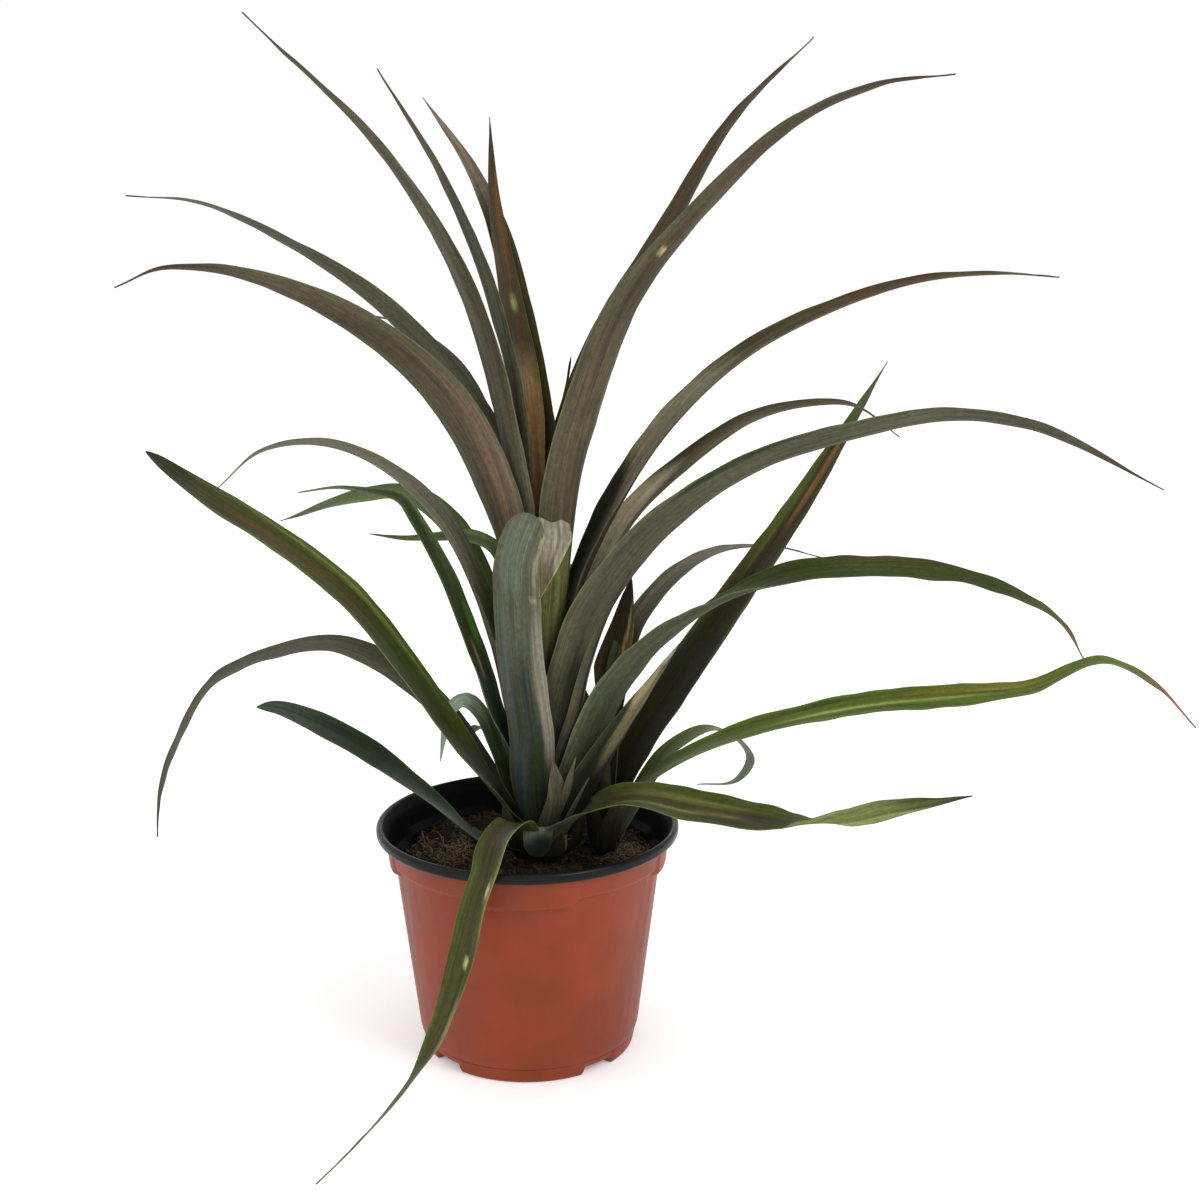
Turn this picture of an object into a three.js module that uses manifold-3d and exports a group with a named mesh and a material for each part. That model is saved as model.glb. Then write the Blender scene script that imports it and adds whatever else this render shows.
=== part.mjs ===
// A potted pineapple plant: a thin thermoformed nursery pot filled with potting mix, and a plant of
// two leafy shoots. Millimetres, +Z up, origin at the middle of the pot's underside, +Y away from
// the viewer, +X to the right.
import * as THREE from 'three';
import Module from 'manifold-3d';

// Driving dimensions of the pot.
const POT_HEIGHT = 131;
const RIM_RADIUS = 85;
const FOOT_RADIUS = 58.5;
const CREASE_RADIUS = 61; // the foot band's top
const CREASE_HEIGHT = 8.5;
const BARREL_RADIUS = 62.5; // the tapered wall starts here, a little above the crease
const CREASE_ROUND = 4;
const WALL = 1.2;
const COLLAR_BOTTOM = 112;
const COLLAR_RADIUS = 78;
const SHOULDER_RADIUS = 74.2;
const COLLAR_FLARE = 1.8;
const LIP_HEIGHT = 6;
const LIP_WIDTH = 4;
const EDGE = 1.3; // the small rounds on the foot, the collar and the lip
const POT_SIDES = 60;
const REPEATS = 4; // stacking lugs and drain notches, evenly spaced
const LUG_DROP = 4; // how far a lug reaches below the collar
const LUG_HALF_ANGLE = 18; // degrees
const LUG_AZIMUTH = 270; // degrees, 0 along +X
const NOTCH_RISE = 4;
const NOTCH_HALF_ANGLE = 9;
const NOTCH_AZIMUTH = 222;
const NOTCH_RADIUS = 49; // the drain notches start here

// Potting mix.
const SOIL_TOP = 112.5;
const SOIL_RIPPLE = 1.6; // half the height of the bumps away from the stems
const SOIL_SHOULDER = 5; // the mix meets the wall this far below its top
const SOIL_GAP = 0.6; // to the pot's faceted wall
const SOIL_RINGS = 6;
const SOIL_SIDES = 30;
const STEM_SIDES = 16;
const HOLE_FLARE = 0.6; // the holes for the stems widen by this at the top
const GAP = 0.35; // clearance between neighbours

// The two stems: place of each axis, foot in the soil, and [height, radius] up the stem.
const STEMS = {
  main: {
    x: 8,
    y: -10,
    foot: 74,
    profile: [[74, 9], [120, 9.5], [150, 8.5], [176, 7.4], [205, 6], [225, 4.4]],
  },
  side: { x: 43, y: -2, foot: 84, profile: [[84, 6], [118, 6.6], [150, 4.6], [168, 3.2]] },
};

// Blade build-up.
const BASE_THICKNESS = 1.5;
const TIP_THICKNESS = 0.7;
const MARGIN_THICKNESS = 0.65;
const CLASP = 0.85; // largest half-angle with which a leaf base clasps its stem, radians
const GUTTER_REACH = 25; // the gutter is fully formed this far from the stem's axis
const GUTTER_FLATTENING = 0.5; // share of the gutter that is lost by the tip
const NECK = 0.8; // a blade's width at its base, as a share of the full width
const NECK_END = 0.25; // share of the length over which the neck widens
const THINNING = 1.4; // how fast the thickness falls to that of the tip
const STATION_STEP = 27; // length of blade between two sections
const ACROSS = 4; // strips across a blade

// Each leaf: name, stem, azimuth in degrees, blade width, gutter half-angle in radians, tip power
// (2 is a long taper, 9 a blunt strap), width left at the very tip, and its midrib as [reach from
// the stem's axis, height, sideways shift, roll in degrees]. Where two leaves meet at their bases,
// the one listed first keeps its whole form, so the inner leaves come first.
const LEAVES = [
  ['main_leaf_01', 'main', 60, 9, 0.5, 2.2, 1.4, [[5.5, 226, 0, 0], [9, 290, 0, 0], [20, 345, 0, 0],
    [34, 389, 0, 0]]],
  ['main_leaf_02', 'main', 186, 22, 0.6, 2.2, 1.4, [[6.3, 219, 0, 0], [7, 285, 0, 0], [10, 348, 0, -10],
    [24, 421, 0, -28], [48, 482, 0, -28], [80, 537, 0, -28]]],
  ['main_leaf_03', 'main', 100, 22, 0.5, 2.2, 1.4, [[6.8, 213, 0, 0], [7, 260, 1, 0], [8, 325, 2, 0],
    [13, 384, 6, 0], [21, 425, 12, 0], [33, 472, 18, 0], [42, 515, 19, 0]]],
  ['main_leaf_04', 'main', 28, 26, 0.5, 2.2, 1.4, [[7.2, 208, 0, 0], [8, 260, 0, 0], [14, 330, 0, -8],
    [35, 393, 0, -12], [74, 451, 0, -15], [118, 514, 0, -12], [170, 559, 0, 0]]],
  ['main_leaf_05', 'main', 213, 26, 0.6, 2.2, 1.4, [[7.6, 204, 0, 0], [10, 270, 0, 0], [17, 333, 0, 0],
    [41, 422, 0, -5], [85, 492, 0, -4], [157, 557, 0, 0]]],
  ['main_leaf_06', 'main', -38, 32, 0.6, 2.2, 1.4, [[7.9, 200, 0, 0], [14, 262, 0, 4], [20.5, 328, 0, 10],
    [34, 371, 0, 10], [60, 423, 0, 9], [103, 467, 0, 4], [153, 506, 0, 6], [199, 523, 0, 16],
    [236, 526, 0, 16]]],
  ['main_leaf_07', 'main', 100, 25, 0.6, 2.2, 1.4, [[8.1, 196, 0, 0], [10, 260, 0, 0], [13, 324, -4, 0],
    [17, 372, 1, 0], [25, 414, 7, 0], [36, 454, 15, 0], [51, 490, 29, 0], [70, 526, 52, 0]]],
  ['main_leaf_08', 'main', 160, 21, 0.6, 2.2, 1.4, [[8.3, 192, 0, 0], [12, 265, 0, 0], [22, 338, 0, 10],
    [45, 373, 0, 25], [92, 418, 0, 26], [151, 451, 0, 13], [201, 470, 0, 10], [249, 474, 0, 0]]],
  ['main_leaf_09', 'main', 8, 29, 1.05, 2.2, 1.4, [[8.5, 189, 0, 0], [14, 235, 0, 0], [24, 271, 0, -6],
    [44, 314, 0, -12], [71, 354, 0, -14], [109, 389, 0, -14], [152, 412, 0, -14], [204, 429, 0, -16],
    [251, 433, 0, -16], [285, 431, 0, 0]]],
  ['main_leaf_10', 'main', 208, 30, 0.6, 2.2, 1.4, [[8.7, 186, 0, 0], [12, 240, 0, -8], [18, 290, 0, -22],
    [31, 334, 0, -38], [56, 376, 0, -48], [104, 415, 0, -46], [159, 438, 0, -34], [197, 441, 0, -28],
    [219, 433, 0, -20]]],
  ['main_leaf_11', 'main', 90, 24, 0.6, 2.2, 1.4, [[8.9, 183, 0, 0], [16, 230, 0, 0], [37, 275, 0, 0],
    [80, 305, 0, 0], [130, 300, 0, 0], [165, 280, 0, 0]]],
  ['main_leaf_12', 'main', 146, 22, 0.6, 2.2, 1.4, [[9, 180, 0, 0], [16, 250, 0, 0], [27, 320, 0, 0],
    [49, 377, 0, 0], [87, 403, 0, 0], [115, 408, 0, 0], [135, 404, 0, 0]]],
  ['main_leaf_13', 'main', 22, 26, 0.95, 2.2, 1.4, [[9.2, 177, 0, 0], [19, 222, 0, 0], [31, 262, 0, -6],
    [53, 301, 0, -10], [86, 329, 0, -12], [125, 352, 0, -12], [160, 359, 0, -14], [192, 357, 0, -20],
    [222, 338, 0, -20]]],
  ['main_leaf_14', 'main', 178, 25, 1, 2.2, 1.4, [[9.4, 170, 0, 0], [18, 195, 0, 0], [24, 226, 0, 6],
    [34, 263, 0, 14], [56, 307, 0, 18], [90, 336, 0, 12], [120, 345, 0, 12], [150, 340, 0, 14],
    [173, 321, 0, 14]]],
  ['main_leaf_15', 'main', -18, 29, 0.8, 2.2, 1.4, [[5.5, 165, -8, 55], [12, 185, -9, 50],
    [19, 214, -9, 45], [24, 233, -7, 42], [33, 257, -4, 40], [67, 302, 1, 36], [115, 337, 0, 32],
    [167, 357, 0, 34], [216, 368, 0, 36], [259, 364, 0, 42], [319, 337, 0, 42]]],
  ['main_leaf_16', 'main', 150, 16, 0.6, 2.2, 1.4, [[9.6, 163, 0, 0], [13, 200, 0, 0], [15, 230, 0, 0],
    [18, 264, 0, 0], [28, 285, 0, 16], [45, 291, 0, 36], [65, 289, 0, 36], [89, 286, 0, 34],
    [114, 286, 0, 30]]],
  ['main_leaf_17', 'main', 152, 22, 0.6, 3, 1.4, [[9.8, 158, 0, 0], [22, 215, 0, 0], [40, 270, 0, 10],
    [57, 297, 0, 18], [83, 311, 0, 22], [117, 308, 0, 40], [174, 289, 0, 40]]],
  ['main_leaf_18', 'main', 190, 21, 0.7, 2.2, 1.4, [[9.9, 152, 0, 0], [18, 178, 0, 14], [27, 200, 0, 26],
    [33, 222, 0, 30], [39, 240, 0, 33], [51, 275, 0, 36], [68, 309, 0, 38], [73, 317, 0, 36],
    [78, 320, 0, 30], [93, 323, 0, 20], [107, 325, 0, 14], [127, 323, 0, 10]]],
  ['main_leaf_19', 'main', -40, 14, 0.8, 2.2, 1.4, [[10, 150, 0, 0], [17, 176, 0, 0], [26, 200, 0, 0],
    [34, 228, 0, 0], [46, 256, 0, 0], [64, 286, 0, 0]]],
  ['main_leaf_20', 'main', 80, 22, 0.6, 2.2, 1.4, [[10.1, 148, 0, 0], [22, 200, 0, 0], [52, 240, 0, 0],
    [95, 258, 0, 0], [140, 245, 0, 0], [170, 220, 0, 0]]],
  ['main_leaf_21', 'main', 258, 27, 0.75, 9, 8, [[10.2, 132, -2, 0], [20, 164, -1, 0], [24, 188, 0, 0],
    [28, 212, -2, 0], [31, 235, -4, 0], [34, 262, -4.5, 0], [36, 285, -4, 0], [36, 297, -1.5, 0],
    [36, 309, 3, 0], [36, 314, 5, 0]]],
  ['main_leaf_22', 'main', -12, 31, 0.9, 2.2, 1.4, [[7, 130, -8, 50], [17, 147, -9, 48], [28, 174, -8, 44],
    [39, 202, -6, 38], [53, 224, -3, 32], [69, 241, -1, 24], [99, 263, 0, 4], [141, 280, 0, -22],
    [202, 285, 0, -30], [243, 278, 0, -28], [274, 262, 0, -24], [288, 241, 0, -10]]],
  ['main_leaf_23', 'main', 98, 22, 0.6, 2.2, 1.4, [[10.4, 138, 0, 0], [24, 185, 0, 0], [57, 222, 0, 0],
    [100, 235, 0, 0], [145, 215, 0, 0], [170, 190, 0, 0]]],
  ['main_leaf_24', 'main', 172, 16, 0.6, 2.2, 1.4, [[10.5, 136, 0, 0], [22, 163, 0, 16], [33, 193, 0, 24],
    [42, 202, 0, 40], [50, 197, 0, 56], [54, 184, 0, 64], [57, 166, 0, 66]]],
  ['main_leaf_33', 'main', 285, 19, 0.7, 2.2, 1.4, [[10.8, 118, 0, 0], [17, 131, 1, 0], [22, 145, 3, 0],
    [25, 155, 3.5, 0], [27, 166, 2, 0], [28, 179, 0, 0]]],
  ['main_leaf_34', 'main', 307, 12, 0.7, 2.2, 1.4, [[11, 121, -3, 0], [20, 139, 0, 0], [24, 150, 0, 0],
    [29, 163, -2, 0], [34, 180, -1, 0]]],
  ['main_leaf_35', 'main', 312, 6, 0.7, 2.2, 1.4, [[14, 121, -4, 0], [20, 131, -4, 0], [26, 142, -3, 0],
    [32, 154, -2, 0], [40, 169, 0, 0]]],
  ['main_leaf_25', 'main', -28, 23, 0.8, 2.2, 1.4, [[10, 124, -8, 40], [21, 140, -8, 36], [34, 166, -5, 30],
    [56, 203, -2, 26], [84, 246, 0, 20]]],
  ['main_leaf_26', 'main', 197, 25, 0.6, 8, 1.4, [[10.7, 130, 0, 0], [24, 149, 0, 8], [51, 190, 0, 32],
    [77, 231, 0, 35], [103, 267, 0, 34], [138, 299, 0, 30], [177, 328, 0, 34], [203, 350, 0, 38]]],
  ['main_leaf_27', 'main', 166, 22, 0.6, 2.2, 1.4, [[10.8, 127, 0, 0], [22, 144, 0, 0], [38, 168, 0, 8],
    [60, 195, 0, 16], [89, 217, 0, 22], [121, 227, 0, 18], [157, 220, 0, 20], [194, 202, 0, 28],
    [217, 170, 0, 44], [233, 132, 0, 60], [237, 103, 0, 60]]],
  ['main_leaf_28', 'main', 84, 24, 0.6, 2.2, 1.4, [[10.9, 125, 0, 0], [26, 150, 0, 0], [60, 175, 0, 0],
    [105, 170, 0, 0], [140, 140, 0, 0], [160, 105, 0, 0]]],
  ['main_leaf_29', 'main', 112, 22, 0.6, 2.2, 1.4, [[11, 122, 0, 0], [26, 143, 0, 0], [55, 160, 0, 0],
    [90, 163, 0, 0], [125, 150, 0, 0], [150, 132, 0, 0]]],
  ['main_leaf_30', 'main', -32, 31, 0.5, 2.6, 1.4, [[10, 117, -10, 20], [18, 131, -10, 10],
    [28, 143, -7, -6], [41, 152, -4, -14], [64, 159, -1, -8], [100, 159, 0, -16], [136, 160, 0, -16],
    [152, 161, 0, -4], [165, 164, 0, 14], [186, 170, 0, 48], [207, 179, 0, 62], [249, 194, 0, 62]]],
  ['main_leaf_31', 'main', 208, 22, 0.5, 7, 1.4, [[11.2, 117, 0, 0], [24, 123, 0, 0], [40, 130, 0, 10],
    [64, 155, 0, 20], [105, 192, 0, 34], [148, 219, 0, 34], [160, 222, 0, 34]]],
  ['main_leaf_32', 'main', 242, 22, 0.5, 1.8, 1.4, [[11.4, 117, 0, 0], [20, 131, 2, 0], [40, 146, 6, -5],
    [65, 143, 9, -12], [79, 134, 13, -15], [88, 118, 11, -14], [95, 88, 6, 0], [108, 54, 0, -10],
    [126, 30, -7, -42], [160, 11, -16, -50], [190, 4, -19, -50]]],
  ['main_leaf_36', 'main', 268, 18, 0.7, 4, 8, [[13, 118, 1, 0], [17, 131, 1, 0], [22, 138, 0, 0],
    [27, 137.5, 0, 0], [31, 132, 0, 0], [33, 125, 0, 0]]],
  ['main_leaf_37', 'main', 312, 8, 0.7, 3, 4, [[12, 117, 0, 0], [16, 119, 0, 0], [19, 124, 0, 0],
    [20, 131, 0, 0]]],
  ['main_leaf_38', 'main', 225, 15, 0.7, 2.6, 1.4, [[13, 115, -4, 0], [18, 124, -3, 0], [22, 136, -3, 0],
    [25, 151, -4, 0]]],
  ['main_leaf_39', 'main', 280, 14, 0.7, 2.6, 1.4, [[13, 114, 1.6, 0], [18, 121, 4, 0], [21, 130, 5, 0],
    [23, 141, 7, 0]]],
  ['main_leaf_40', 'main', 330, 15, 0.7, 2.6, 1.4, [[12, 115, 6, 0], [18, 121, 8, 0], [22, 135, 8, 0],
    [25, 149, 6, 0]]],
  ['side_leaf_01', 'side', 55, 31, 0.55, 2.2, 1.4, [[4.4, 168, 0, 0], [6, 192, 2, 0], [14, 215, 3, 0],
    [22, 240, 2, 0], [27, 268, 0, 0]]],
  ['side_leaf_02', 'side', 48, 19, 0.7, 2.2, 1.4, [[6, 150, 0, 0], [11, 200, 0, 0], [22, 234, 0, 0],
    [52, 258, 0, 0], [92, 270, 0, 0], [151, 266, 0, 0], [209, 250, 0, 0]]],
  ['side_leaf_03', 'side', -8, 26, 0.6, 2.2, 1.4, [[7.4, 132, 0, 0], [23, 153, 0, 0], [48, 171, 0, 0],
    [86, 188, 0, -8], [140, 203, 0, -18], [193, 211, 0, -30], [230, 217, 0, -16], [266, 234, 0, -12],
    [293, 223, 0, -24], [317, 199, 0, -24]]],
  ['side_leaf_04', 'side', 38, 30, 0.7, 2.2, 1.4, [[7.8, 126, 0, 0], [14, 152, 0, -8], [26, 173, 0, -12],
    [46, 194, 0, -12], [97, 245, 0, -12], [147, 295, 0, -14], [187, 340, 0, -10], [218, 376, 0, 0]]],
  ['side_leaf_05', 'side', 110, 18, 0.6, 2.2, 1.4, [[7.8, 122, 0, 0], [20, 160, 0, 0], [45, 190, 0, 0],
    [85, 200, 0, 0], [120, 185, 0, 0]]],
  ['side_leaf_06', 'side', 30, 18, 0.5, 2.2, 1.4, [[8, 117, 0, 0], [15, 130, 0, 0], [26, 146, 0, 0],
    [43, 165, 0, 0], [71, 174, 0, 0], [90, 164, 0, 0], [99, 151, 0, 0], [89, 140, 0, 0], [62, 142, 0, 0]]],
  ['side_leaf_07', 'side', 240, 13, 0.7, 3, 1.4, [[8.2, 117, 0, 0], [11, 130, 0, 0], [14, 148, 0, 0]]],
  ['side_leaf_08', 'side', -60, 16, 0.8, 2.6, 1.4, [[7.8, 115, -2, 0], [10, 126, -1, 0], [13, 140, 1, 0],
    [16, 156, 3, 0]]],
];

const terracotta = new THREE.MeshStandardMaterial({ color: 0xa5512f, roughness: 0.5, metalness: 0 });
const pottingMix = new THREE.MeshStandardMaterial({ color: 0x33261d, roughness: 1, metalness: 0 });
const stemTissue = new THREE.MeshStandardMaterial({ color: 0x6f7150, roughness: 0.7, metalness: 0 });
const leafTissue = new THREE.MeshStandardMaterial({ color: 0x596250, roughness: 0.5, metalness: 0 });

const radians = THREE.MathUtils.degToRad;

function closedGeometry(positions, triangles) {
  const geometry = new THREE.BufferGeometry();
  geometry.setAttribute('position', new THREE.Float32BufferAttribute(positions, 3));
  geometry.setIndex(triangles);
  geometry.computeVertexNormals();
  return geometry;
}

// Turns an outline of [radius, height] points about +Z. The outline runs from the axis at the
// bottom, out, up and back to the axis, and outlineAt(azimuth) may differ from side to side.
function revolve(outlineAt, sides) {
  const inner = outlineAt(0).slice(1, -1).length;
  const positions = [0, 0, outlineAt(0).at(0)[1], 0, 0, outlineAt(0).at(-1)[1]];
  const triangles = [];
  const at = (side, i) => 2 + (side % sides) * inner + i;
  for (let side = 0; side < sides; side++) {
    const azimuth = (360 * side) / sides;
    for (const [radius, z] of outlineAt(azimuth).slice(1, -1)) {
      positions.push(radius * Math.cos(radians(azimuth)), radius * Math.sin(radians(azimuth)), z);
    }
    triangles.push(0, at(side + 1, 0), at(side, 0));
    for (let i = 0; i + 1 < inner; i++) {
      triangles.push(at(side, i), at(side + 1, i), at(side, i + 1));
      triangles.push(at(side + 1, i), at(side + 1, i + 1), at(side, i + 1));
    }
    triangles.push(at(side, inner - 1), at(side + 1, inner - 1), 1);
  }
  return closedGeometry(positions, triangles);
}

// True where an azimuth lies within halfAngle of one of the evenly spaced repeats.
function inRepeat(azimuth, first, halfAngle) {
  const pitch = 360 / REPEATS;
  const away = THREE.MathUtils.euclideanModulo(azimuth - first + pitch / 2, pitch) - pitch / 2;
  return Math.abs(away) < halfAngle + 0.1;
}

// The pot: a flat floor, a tapered wall, a stacking collar with lower lugs, and a rolled lip.
function potOutline(azimuth) {
  const rise = inRepeat(azimuth, NOTCH_AZIMUTH, NOTCH_HALF_ANGLE) ? NOTCH_RISE : 0;
  const collar = COLLAR_BOTTOM - (inRepeat(azimuth, LUG_AZIMUTH, LUG_HALF_ANGLE) ? LUG_DROP : 0);
  const lip = POT_HEIGHT - LIP_HEIGHT;
  const outside = [
    [0, 0], [NOTCH_RADIUS, 0], [NOTCH_RADIUS + EDGE, rise], [FOOT_RADIUS, rise],
    [FOOT_RADIUS + EDGE, rise + EDGE], [CREASE_RADIUS, CREASE_HEIGHT],
    [BARREL_RADIUS, CREASE_HEIGHT + CREASE_ROUND], [SHOULDER_RADIUS, collar - EDGE],
    [COLLAR_RADIUS - EDGE, collar], [COLLAR_RADIUS, collar + EDGE],
    [COLLAR_RADIUS + COLLAR_FLARE, lip], [RIM_RADIUS - EDGE, lip],
    [RIM_RADIUS, lip + EDGE], [RIM_RADIUS, POT_HEIGHT - EDGE], [RIM_RADIUS - EDGE, POT_HEIGHT],
  ];
  const inside = [
    [RIM_RADIUS - LIP_WIDTH, POT_HEIGHT - EDGE], [COLLAR_RADIUS + COLLAR_FLARE - WALL, lip],
    [COLLAR_RADIUS - WALL, collar + 2 * EDGE], [SHOULDER_RADIUS - WALL, collar],
    [BARREL_RADIUS - WALL, CREASE_HEIGHT + CREASE_ROUND], [CREASE_RADIUS - WALL, CREASE_HEIGHT],
    [FOOT_RADIUS - WALL, rise + WALL], [NOTCH_RADIUS, rise + WALL], [NOTCH_RADIUS - WALL, WALL],
    [0, WALL],
  ];
  return [...outside, ...inside];
}

// The potting mix: it fills the pot a little short of the walls, with a rippled top.
function soilOutline(azimuth) {
  const barrel = CREASE_HEIGHT + CREASE_ROUND;
  const wall = (z) => THREE.MathUtils.mapLinear(
    z, barrel, COLLAR_BOTTOM, BARREL_RADIUS - WALL, SHOULDER_RADIUS - WALL) - SOIL_GAP;
  const top = (radius) => {
    const wander = 3 * Math.sin(radians(azimuth * 2));
    const swell = (Math.sin(radius * 0.21 + wander) + Math.cos(radians(azimuth * 5))) / 2;
    return SOIL_TOP + SOIL_RIPPLE * swell * THREE.MathUtils.smoothstep(radius, 8, 40);
  };
  const low = WALL + GAP;
  const high = NOTCH_RISE + WALL + GAP; // clear of the drain notches
  const inset = WALL + 2 * GAP;
  const shoulder = SOIL_TOP - SOIL_SHOULDER;
  const outline = [[0, low], [NOTCH_RADIUS - inset, low], [NOTCH_RADIUS - inset, high]];
  outline.push([FOOT_RADIUS - inset, high], [wall(barrel), barrel], [wall(shoulder), shoulder]);
  for (let ring = SOIL_RINGS; ring > 1; ring--) {
    const radius = ((wall(shoulder) - GAP) * ring) / SOIL_RINGS;
    outline.push([radius, top(radius)]);
  }
  outline.push([0, SOIL_TOP]);
  return outline;
}

// A stem stands on its axis: [height, radius] pairs, closed with a small dome.
function stemGeometry({ x, y, profile }, grown = 0) {
  const [topHeight, topRadius] = profile.at(-1);
  const outline = [[0, profile[0][0] - grown], ...profile.map(([z, radius]) => [radius + grown, z])];
  outline.push([topRadius * 0.7, topHeight + topRadius * 0.6 + grown]);
  outline.push([0, topHeight + topRadius * 0.8 + grown]);
  return revolve(() => outline, STEM_SIDES).translate(x, y, 0);
}

const wasm = await Module();
wasm.setup();

function toSolid(geometry) {
  return new wasm.Manifold(new wasm.Mesh({
    numProp: 3,
    vertProperties: new Float32Array(geometry.attributes.position.array),
    triVerts: new Uint32Array(geometry.index.array),
  }));
}

function toGeometry(solid) {
  const mesh = solid.getMesh();
  return closedGeometry([...mesh.vertProperties], [...mesh.triVerts]);
}

// The soil with a plain hole for each stem, a clearance wider and deeper than the stem in it.
function drilledSoil() {
  let solid = toSolid(revolve(soilOutline, SOIL_SIDES));
  for (const stem of Object.values(STEMS)) {
    const outline = [[0, stem.foot - GAP]];
    for (const [z, radius] of stem.profile) {
      if (z < SOIL_TOP) outline.push([radius + GAP, z === stem.foot ? z - GAP : z]);
    }
    const above = SOIL_TOP + 4 * SOIL_RIPPLE;
    outline.push([outline.at(-1)[0] + HOLE_FLARE, above], [0, above]);
    const hole = revolve(() => outline, STEM_SIDES).translate(stem.x, stem.y, 0);
    solid = solid.subtract(toSolid(hole));
  }
  return toGeometry(solid);
}

// The blade of one leaf: a gutter-shaped section swept along the midrib, clasping at the base.
function leafGeometry([, stemName, azimuth, width, gutter, tipPower, tipWidth, midrib], grown = 0) {
  const stem = STEMS[stemName];
  const outward = new THREE.Vector3(Math.cos(radians(azimuth)), Math.sin(radians(azimuth)), 0);
  const sideways = new THREE.Vector3(-outward.y, outward.x, 0);
  const axis = new THREE.Vector3(stem.x, stem.y, 0);
  const points = midrib.map(([reach, z, shift]) => axis.clone().addScaledVector(outward, reach)
    .addScaledVector(sideways, shift).setZ(z));
  const curve = new THREE.CatmullRomCurve3(points, false, 'centripetal');
  const length = curve.getLength();
  const stations = Math.max(6, Math.round(length / STATION_STEP));
  const positions = [];
  for (let i = 0; i <= stations; i++) {
    const along = i / stations;
    const centre = curve.getPointAt(along);
    const tangent = curve.getTangentAt(along);
    const knot = curve.getUtoTmapping(along) * (midrib.length - 1);
    const before = midrib[Math.floor(knot)][3];
    const after = midrib[Math.min(Math.floor(knot) + 1, midrib.length - 1)][3];
    const roll = radians(THREE.MathUtils.lerp(before, after, knot % 1));
    const across = sideways.clone().addScaledVector(tangent, -sideways.dot(tangent)).normalize();
    across.applyAxisAngle(tangent, -roll);
    const upper = new THREE.Vector3().crossVectors(tangent, across);
    const radius = Math.hypot(centre.x - stem.x, centre.y - stem.y);
    const neck = THREE.MathUtils.lerp(NECK, 1, THREE.MathUtils.smoothstep(along, 0, NECK_END));
    const full = Math.max(tipWidth, width * neck * (1 - along ** tipPower));
    const narrow = Math.min(full, 2 * CLASP * radius);
    const opened = gutter * (1 - GUTTER_FLATTENING * along) * Math.min(1, radius / GUTTER_REACH);
    const halfAngle = Math.max(narrow / 2 / radius, opened) * (1 + grown / narrow);
    const bend = (narrow / 2 + grown / 2) / halfAngle;
    const middle = THREE.MathUtils.lerp(BASE_THICKNESS, TIP_THICKNESS, Math.min(1, along * THINNING));
    for (const side of [1, -1]) {
      for (let j = 0; j <= ACROSS; j++) {
        const q = (2 * j) / ACROSS - 1;
        const turn = halfAngle * q;
        const thickness = THREE.MathUtils.lerp(middle, MARGIN_THICKNESS, q * q);
        const reach = bend - (side * (thickness + 2 * grown)) / 2;
        const point = centre.clone().addScaledVector(upper, bend - reach * Math.cos(turn));
        point.addScaledVector(across, reach * Math.sin(turn));
        positions.push(point.x, point.y, point.z);
      }
    }
  }
  return closedGeometry(positions, bladeTriangles(stations));
}

// Triangles of a blade whose sections each list the upper side, then the lower, margin to margin.
function bladeTriangles(stations) {
  const ring = 2 * (ACROSS + 1);
  const at = (i, side, j) => i * ring + side * (ACROSS + 1) + j;
  const triangles = [];
  const quad = (a, b, c, d) => triangles.push(a, b, c, a, c, d);
  for (let i = 0; i < stations; i++) {
    for (let j = 0; j < ACROSS; j++) {
      quad(at(i, 0, j), at(i + 1, 0, j), at(i + 1, 0, j + 1), at(i, 0, j + 1));
      triangles.push(at(i, 1, j), at(i + 1, 1, j + 1), at(i + 1, 1, j));
      triangles.push(at(i, 1, j), at(i, 1, j + 1), at(i + 1, 1, j + 1));
    }
    quad(at(i, 1, 0), at(i + 1, 1, 0), at(i + 1, 0, 0), at(i, 0, 0));
    quad(at(i, 0, ACROSS), at(i + 1, 0, ACROSS), at(i + 1, 1, ACROSS), at(i, 1, ACROSS));
  }
  for (let j = 0; j < ACROSS; j++) {
    quad(at(0, 0, j), at(0, 0, j + 1), at(0, 1, j + 1), at(0, 1, j));
    quad(at(stations, 0, j), at(stations, 1, j), at(stations, 1, j + 1), at(stations, 0, j + 1));
  }
  return triangles;
}

function largestPiece(solid) {
  return solid.decompose().reduce((best, piece) => (piece.volume() > best.volume() ? piece : best));
}

function named(name, geometry, material) {
  const mesh = new THREE.Mesh(geometry, material);
  mesh.name = name;
  return mesh;
}

const plant = new THREE.Group();
plant.add(named('pot', revolve(potOutline, POT_SIDES), terracotta));
plant.add(named('potting_mix', drilledSoil(), pottingMix));
for (const [name, stem] of Object.entries(STEMS)) {
  plant.add(named(`${name}_stem`, stemGeometry(stem), stemTissue));
}

// Where a leaf's base is squeezed between its stem and the leaves inside it, it is trimmed back a
// clearance from them.
const taken = Object.values(STEMS).map((stem) => toSolid(stemGeometry(stem, GAP)));
for (const leaf of LEAVES) {
  let blade = toSolid(leafGeometry(leaf));
  for (const other of taken) {
    const trimmed = blade.subtract(other);
    if (trimmed.volume() < blade.volume() - 1e-6) blade = largestPiece(trimmed);
  }
  taken.push(toSolid(leafGeometry(leaf, GAP)));
  plant.add(named(leaf[0], toGeometry(blade), leafTissue));
}

export default plant;
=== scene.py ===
"""A potted pineapple plant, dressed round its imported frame: a leafy main shoot and a side shoot in a
thin two-coloured nursery pot. Lengths in the tables are millimetres; objects are built in metres."""

import math
import random
from collections import namedtuple

import bpy
import numpy as np
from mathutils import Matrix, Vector, noise


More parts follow.
